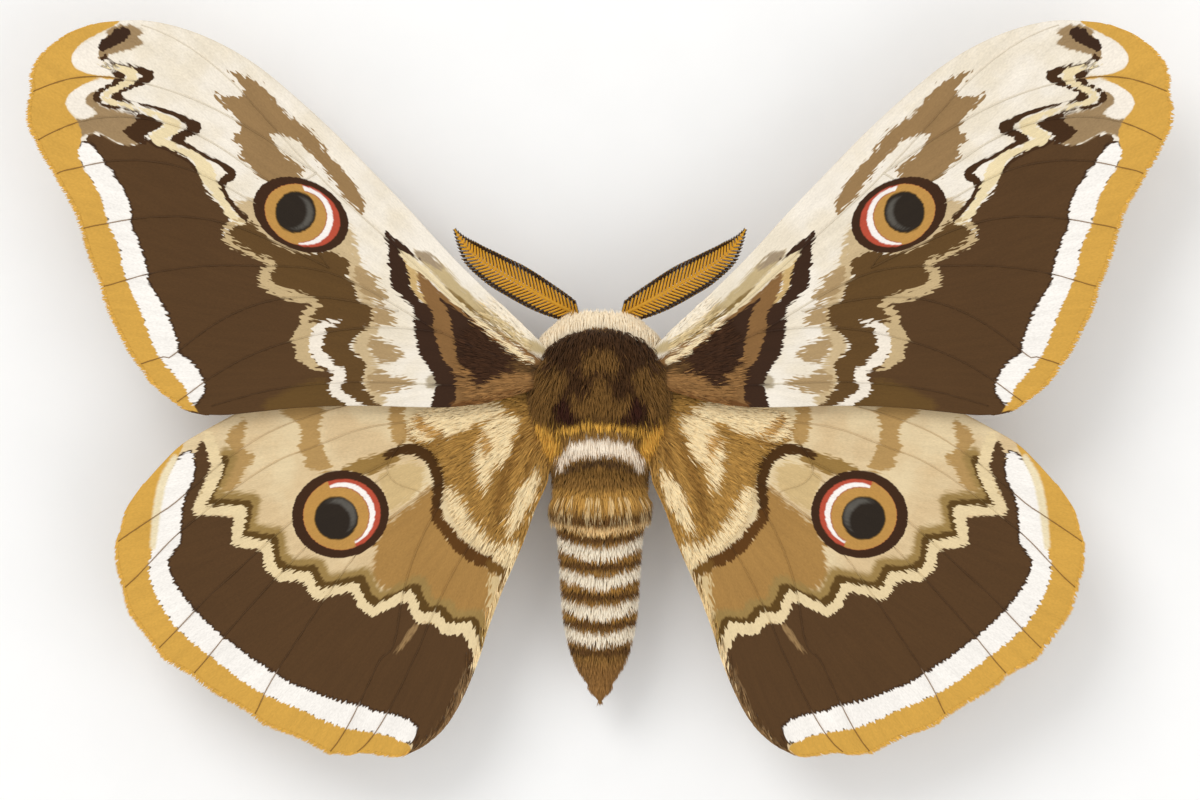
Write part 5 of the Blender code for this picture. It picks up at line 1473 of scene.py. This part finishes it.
class MOTH_OT_head(MothOperator, bpy.types.Operator):
    """Make the compound eyes and the palps"""

    bl_idname = "moth.head"
    bl_label = "Eyes and palps"

    def execute(self, context):
        facets = facet_material("eye_facets")
        polar, turn = np.meshgrid(np.linspace(0, math.pi, EYE_ROWS + 2),
                                  np.linspace(0, 2 * math.pi, EYE_COLUMNS, endpoint=False), indexing="ij")
        ball = np.stack([np.sin(polar) * np.cos(turn), np.sin(polar) * np.sin(turn), np.cos(polar)], axis=2)
        points = np.array(EYE_MIDDLE) + ball * np.array(EYE_RADII)
        points = np.vstack([points[1:-1].reshape(-1, 3), points[0, 0], points[-1, 0]])
        mesh = (points, *closed_faces(EYE_ROWS, EYE_COLUMNS))
        for side, sign in SIDES:
            piece = add_piece(f"eye_{side}_facets", *sided(sign, *mesh), materials=(facets,))
            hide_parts(f"eye_{side}")
            self.palp(side, sign)
        return {"FINISHED"}

    def palp(self, side, sign):
        """A short two-jointed feeler below the face, with hair that lies towards its tip."""
        places = [np.array(place) for place, _ in PALP]
        sizes = [size for _, size in PALP]
        joints = [((places[k], places[k + 1]), (sizes[k], sizes[k + 1])) for k in (0, 1)]
        core = add_piece(f"palp_{side}_core", *sided(sign, *gather([bone(*joint) for joint in joints])),
                         materials=(horn_material("palp_skin", "3A2614", "5F4226", 900.0, 0.6),))
        draw = np.random.default_rng(SEED + 40 + (sign > 0))
        count = 260
        for name, joint in zip(("root", "tip"), joints):
            surface = sleeve(*joint)
            along, around = surface.scatter(count, evenly, draw)
            colours = colour_of("7A5934") * tone_spread(count, draw, 0.25)
            lie = (1.0, draw.normal(0, 0.2, count))
            tufts(f"palp_{side}_{name}_fur", surface, along, around, lie, draw.uniform(0.4, 0.8, count),
                  draw.uniform(0.05, 0.2, count), 0.12, colours, coat_material("palp_fur"),
                  sink=0.05, rings=2, mirror=side == "right")


# Turn of a ray away from the shaft, in radians
RAY_TURN = 0.9076


class MOTH_OT_antennae(MothOperator, bpy.types.Operator):
    """Make the two feathered antennae"""

    bl_idname = "moth.antennae"
    bl_label = "Antennae"

    def execute(self, context):
        wants = settings("moth_antennae")
        look = coat_material("antenna_horn", 0.6, 0.0)
        horn, dark = np.array(wants.colour[:3]), colour_of("3A2410")
        path = ((1.5, -8.7, 11.3), (3.8, -10.0, 12.0), (7.0, -11.7, 12.6), (10.0, -13.4, 13.1),
                (13.2, -15.2, 13.5), (16.2, -17.2, 13.8), (18.1, -19.2, 14.0), (19.2, -20.9, 14.1))
        shaft = curve_through(path, np.linspace(0, 1, 60))
        shapes = [tube_between(shaft, 0.34 * (1 - 0.7 * np.linspace(0, 1, 60)), 10)]
        colours = [horn * 0.9]
        shares = np.linspace(0.08, 0.98, wants.rays)
        joints = curve_through(path, shares)
        ahead = np.gradient(joints, axis=0)
        ahead /= np.linalg.norm(ahead, axis=1)[:, None]
        across = np.cross(ahead, (0.0, 0.0, 1.0))
        across /= np.linalg.norm(across, axis=1)[:, None]
        lengths = wants.ray_length / MM * np.sin(np.pi * (0.1 + 0.89 * shares ** 0.85)) ** 0.75
        lengths *= np.clip((1.02 - shares) / 0.25, 0, 1) ** 0.5
        steps = np.linspace(0, 1, 9)[:, None]
        for k in range(wants.rays):
            for side in (-1, 1):
                way = ahead[k] * math.cos(RAY_TURN) + side * across[k] * math.sin(RAY_TURN) + (0, 0, 0.18)
                line = joints[k] + steps * lengths[k] * way + steps ** 2 * lengths[k] * 0.12 * ahead[k]
                shapes.append(tube_between(line, 0.19 * (1 - 0.45 * steps[:, 0]), 5, 1.2))
                colours.append(horn)
                shapes.append(tube_between(line[6:], np.array([0.12, 0.14, 0.1]), 5, 1.2))
                colours.append(dark)
                for step in np.linspace(0.12, 0.97, max(3, int(lengths[k] / 0.12))):
                    start = joints[k] + step * lengths[k] * way + step ** 2 * lengths[k] * 0.12 * ahead[k]
                    for lean in (-1, 1):
                        end = start + lean * 0.3 * ahead[k] + 0.1 * way - (0, 0, 0.14)
                        shapes.append(tube_between([start, end], [0.08, 0.045], 3))
                        colours.append(dark)
        mesh = gather(shapes)
        coat = np.vstack([np.tile(one, (len(shape[0]), 1)) for one, shape in zip(colours, shapes)])
        for side, sign in SIDES:
            piece = add_piece(f"antenna_{side}_feather", *sided(sign, *mesh), {"coat": coat},
                              materials=(look,))
            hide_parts(f"antenna_{side}")
        return {"FINISHED"}


LEG_PATHS = {
    "front": ((2.6, -3.6, 7.6), (4.4, -4.5, 4.9), (10.8, -5.0, 7.6), (13.4, -7.4, 1.5),
              (14.0, -8.2, 0.3), (15.7, -10.6, 0.3)),
    "middle": ((3.0, 0.4, 7.4), (4.8, 0.6, 4.6), (12.6, 0.8, 7.4), (16.8, 1.6, 1.5),
               (17.7, 1.9, 0.3), (21.2, 2.9, 0.3)),
    "hind": ((2.7, 4.2, 7.4), (4.4, 5.3, 4.8), (10.6, 8.4, 7.2), (14.2, 13.2, 1.5),
             (14.8, 14.1, 0.3), (16.8, 17.6, 0.3)),
}


class MOTH_OT_legs(MothOperator, bpy.types.Operator):
    """Make the six legs with their fur, feet and claws"""

    bl_idname = "moth.legs"
    bl_label = "Legs"

    def execute(self, context):
        horn = horn_material("foot_horn", "4A3018", "7A5630", 900.0, 0.5)
        look = coat_material("leg_fur")
        for number, (place, path) in enumerate(LEG_PATHS.items()):
            hip, coxa, knee, heel, foot, toe = (np.array(p) for p in path)
            bones = [bone((hip, coxa), (0.9, 0.85)), bone((coxa, knee), (0.75, 0.6)),
                     bone((knee, heel), (0.55, 0.32))]
            bones += self.foot(heel, foot, toe)
            mesh = gather(bones)
            furs = [sleeve((hip, coxa), (0.85, 0.8)), sleeve((coxa, knee), (0.7, 0.55)),
                    sleeve((knee, heel), (0.5, 0.3))]
            for side, sign in SIDES:
                draw = np.random.default_rng(SEED + 7 * number + (sign > 0))
                piece = add_piece(f"leg_{place}_{side}_horn", *sided(sign, *mesh), materials=(horn,))
                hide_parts(f"leg_{place}_{side}")
                for part, surface, count, length in zip(("hip", "thigh", "shin"), furs, (500, 1300, 1150),
                                                        (1.0, 1.3, 1.1)):
                    along, around = surface.scatter(count, evenly, draw)
                    sizes = length * draw.uniform(0.6, 1.2, count) * (1 - 0.35 * along)
                    lie = (1.0, draw.normal(0, 0.2, count))
                    colours = np.where(draw.random(count)[:, None] < 0.3, colour_of("A58155"),
                                       colour_of("5F4226")) * tone_spread(count, draw, 0.2)
                    tufts(f"leg_{place}_{side}_{part}_fur", surface, along, around, lie, sizes,
                          draw.uniform(0.15, 0.5, count), 0.17, colours, look, sink=0.1, rings=2,
                          mirror=side == "right")
        return {"FINISHED"}

    def foot(self, heel, foot, toe):
        """Five beads of decreasing size from heel to toe, two curved claws, and two spurs on the shin."""
        shapes = [bone((heel, foot + (0, 0, 0.12)), (0.33, 0.3))]
        along = toe - foot
        for k in range(5):
            start, end = foot + along * (0.2 * k), foot + along * (0.2 * k + 0.23)
            size = 0.29 - 0.025 * k
            shapes.append(bone((start + (0, 0, size - 0.28), end + (0, 0, size - 0.28)), (size, size)))
        ahead = along / np.linalg.norm(along)
        across = np.array([-ahead[1], ahead[0], 0.0])
        for side in (-1, 1):
            steps = np.linspace(0, 1, 9)[:, None]
            claw = (toe + side * 0.08 * across + steps * (1.15 * ahead + 0.38 * side * across)
                    + (0, 0, -0.08) + np.sin(np.pi * steps) * (0, 0, 0.3) - steps ** 2 * (0, 0, 0.08))
            shapes.append(tube_between(claw, 0.12 * (1 - 0.85 * steps[:, 0]), 8))
            spur = heel + (0, 0, 0.7) + steps * (0.55 * ahead + 0.4 * side * across + (0, 0, -0.35))
            shapes.append(tube_between(spur, 0.11 * (1 - 0.85 * steps[:, 0]), 7))
        return shapes


# Width of the camera's sensor in millimetres, and the middle of its view at the wings in metres
SENSOR_WIDTH = 36.0
VIEW_MIDDLE = (0.0, 0.00164, 0.0155)


class MOTH_OT_stage(MothOperator, bpy.types.Operator):
    """Make the pale floor, the soft light and the camera straight above"""

    bl_idname = "moth.stage"
    bl_label = "Stage"

    def execute(self, context):
        wants = settings("moth_stage")
        scene = context.scene
        half = 4000.0
        below_feet = -0.02
        corners = [(x, y, below_feet)
                   for x, y in ((-half, -half), (half, -half), (half, half), (-half, half))]
        floor = add_piece("floor", corners, [(0, 1, 2, 3)],
                          materials=(floor_material("floor_card", tuple(wants.floor)),))
        world = bpy.data.worlds.new("studio")
        world.use_nodes = True
        background = world.node_tree.nodes["Background"]
        background.inputs["Color"].default_value = (1.0, 0.995, 0.985, 1.0)
        background.inputs["Strength"].default_value = wants.light
        scene.world = world
        for name, place, size, power in (("key", (0.55, -0.75, 1.1), 0.8, 6.4),
                                         ("fill", (-0.8, 0.5, 1.0), 1.0, 2.4)):
            lamp = bpy.data.lights.new(name, "AREA")
            lamp.shape = "DISK"
            lamp.size = size
            lamp.energy = power
            light = bpy.data.objects.new(name, lamp)
            light.location = place
            light.rotation_euler = (-Vector(place)).to_track_quat("-Z", "Y").to_euler()
            light.visible_camera = False
            scene.collection.objects.link(light)
        scene.view_settings.view_transform = "Standard"
        scene.view_settings.look = "None"
        camera = bpy.data.objects.new("camera", bpy.data.cameras.new("camera"))
        camera.data.lens = wants.lens
        camera.data.sensor_width = SENSOR_WIDTH
        x, y, z = VIEW_MIDDLE
        camera.location = (x, y, z + wants.frame_width * wants.lens / SENSOR_WIDTH)
        camera.rotation_euler = (0.0, 0.0, math.pi)
        camera.data.clip_start, camera.data.clip_end = 0.01, 20.0
        scene.collection.objects.link(camera)
        scene.camera = camera
        return {"FINISHED"}


class MOTH_PT_panel(bpy.types.Panel):
    """Buttons and settings of the moth"""

    bl_idname = "MOTH_PT_panel"
    bl_label = "Giant Peacock Moth"
    bl_space_type = "VIEW_3D"
    bl_region_type = "UI"
    bl_category = "Moth"

    def draw(self, context):
        for group in SETTINGS:
            box = self.layout.box()
            held = getattr(context.scene, group)
            for name in held.bl_rna.properties.keys():
                if name not in ("rna_type", "name"):
                    box.prop(held, name)
        for operator in OPERATORS:
            self.layout.operator(operator.bl_idname)


SETTINGS = {
    "moth_wings": MothWingSettings,
    "moth_coat": MothCoatSettings,
    "moth_antennae": MothAntennaSettings,
    "moth_stage": MothStageSettings,
}
OPERATORS = (MOTH_OT_wings, MOTH_OT_wing_hair, MOTH_OT_body, MOTH_OT_head, MOTH_OT_antennae, MOTH_OT_legs,
             MOTH_OT_stage)


def register():
    for one in (*SETTINGS.values(), *OPERATORS, MOTH_PT_panel):
        bpy.utils.register_class(one)
    for name, group in SETTINGS.items():
        setattr(bpy.types.Scene, name, PointerProperty(type=group))


def unregister():
    for name in SETTINGS:
        delattr(bpy.types.Scene, name)
    for one in reversed((*SETTINGS.values(), *OPERATORS, MOTH_PT_panel)):
        bpy.utils.unregister_class(one)


def main():
    register()
    bpy.ops.moth.wings()
    bpy.ops.moth.wing_hair()
    bpy.ops.moth.body()
    bpy.ops.moth.head()
    bpy.ops.moth.antennae()
    bpy.ops.moth.legs()
    bpy.ops.moth.stage()


if __name__ == "__main__":
    main()
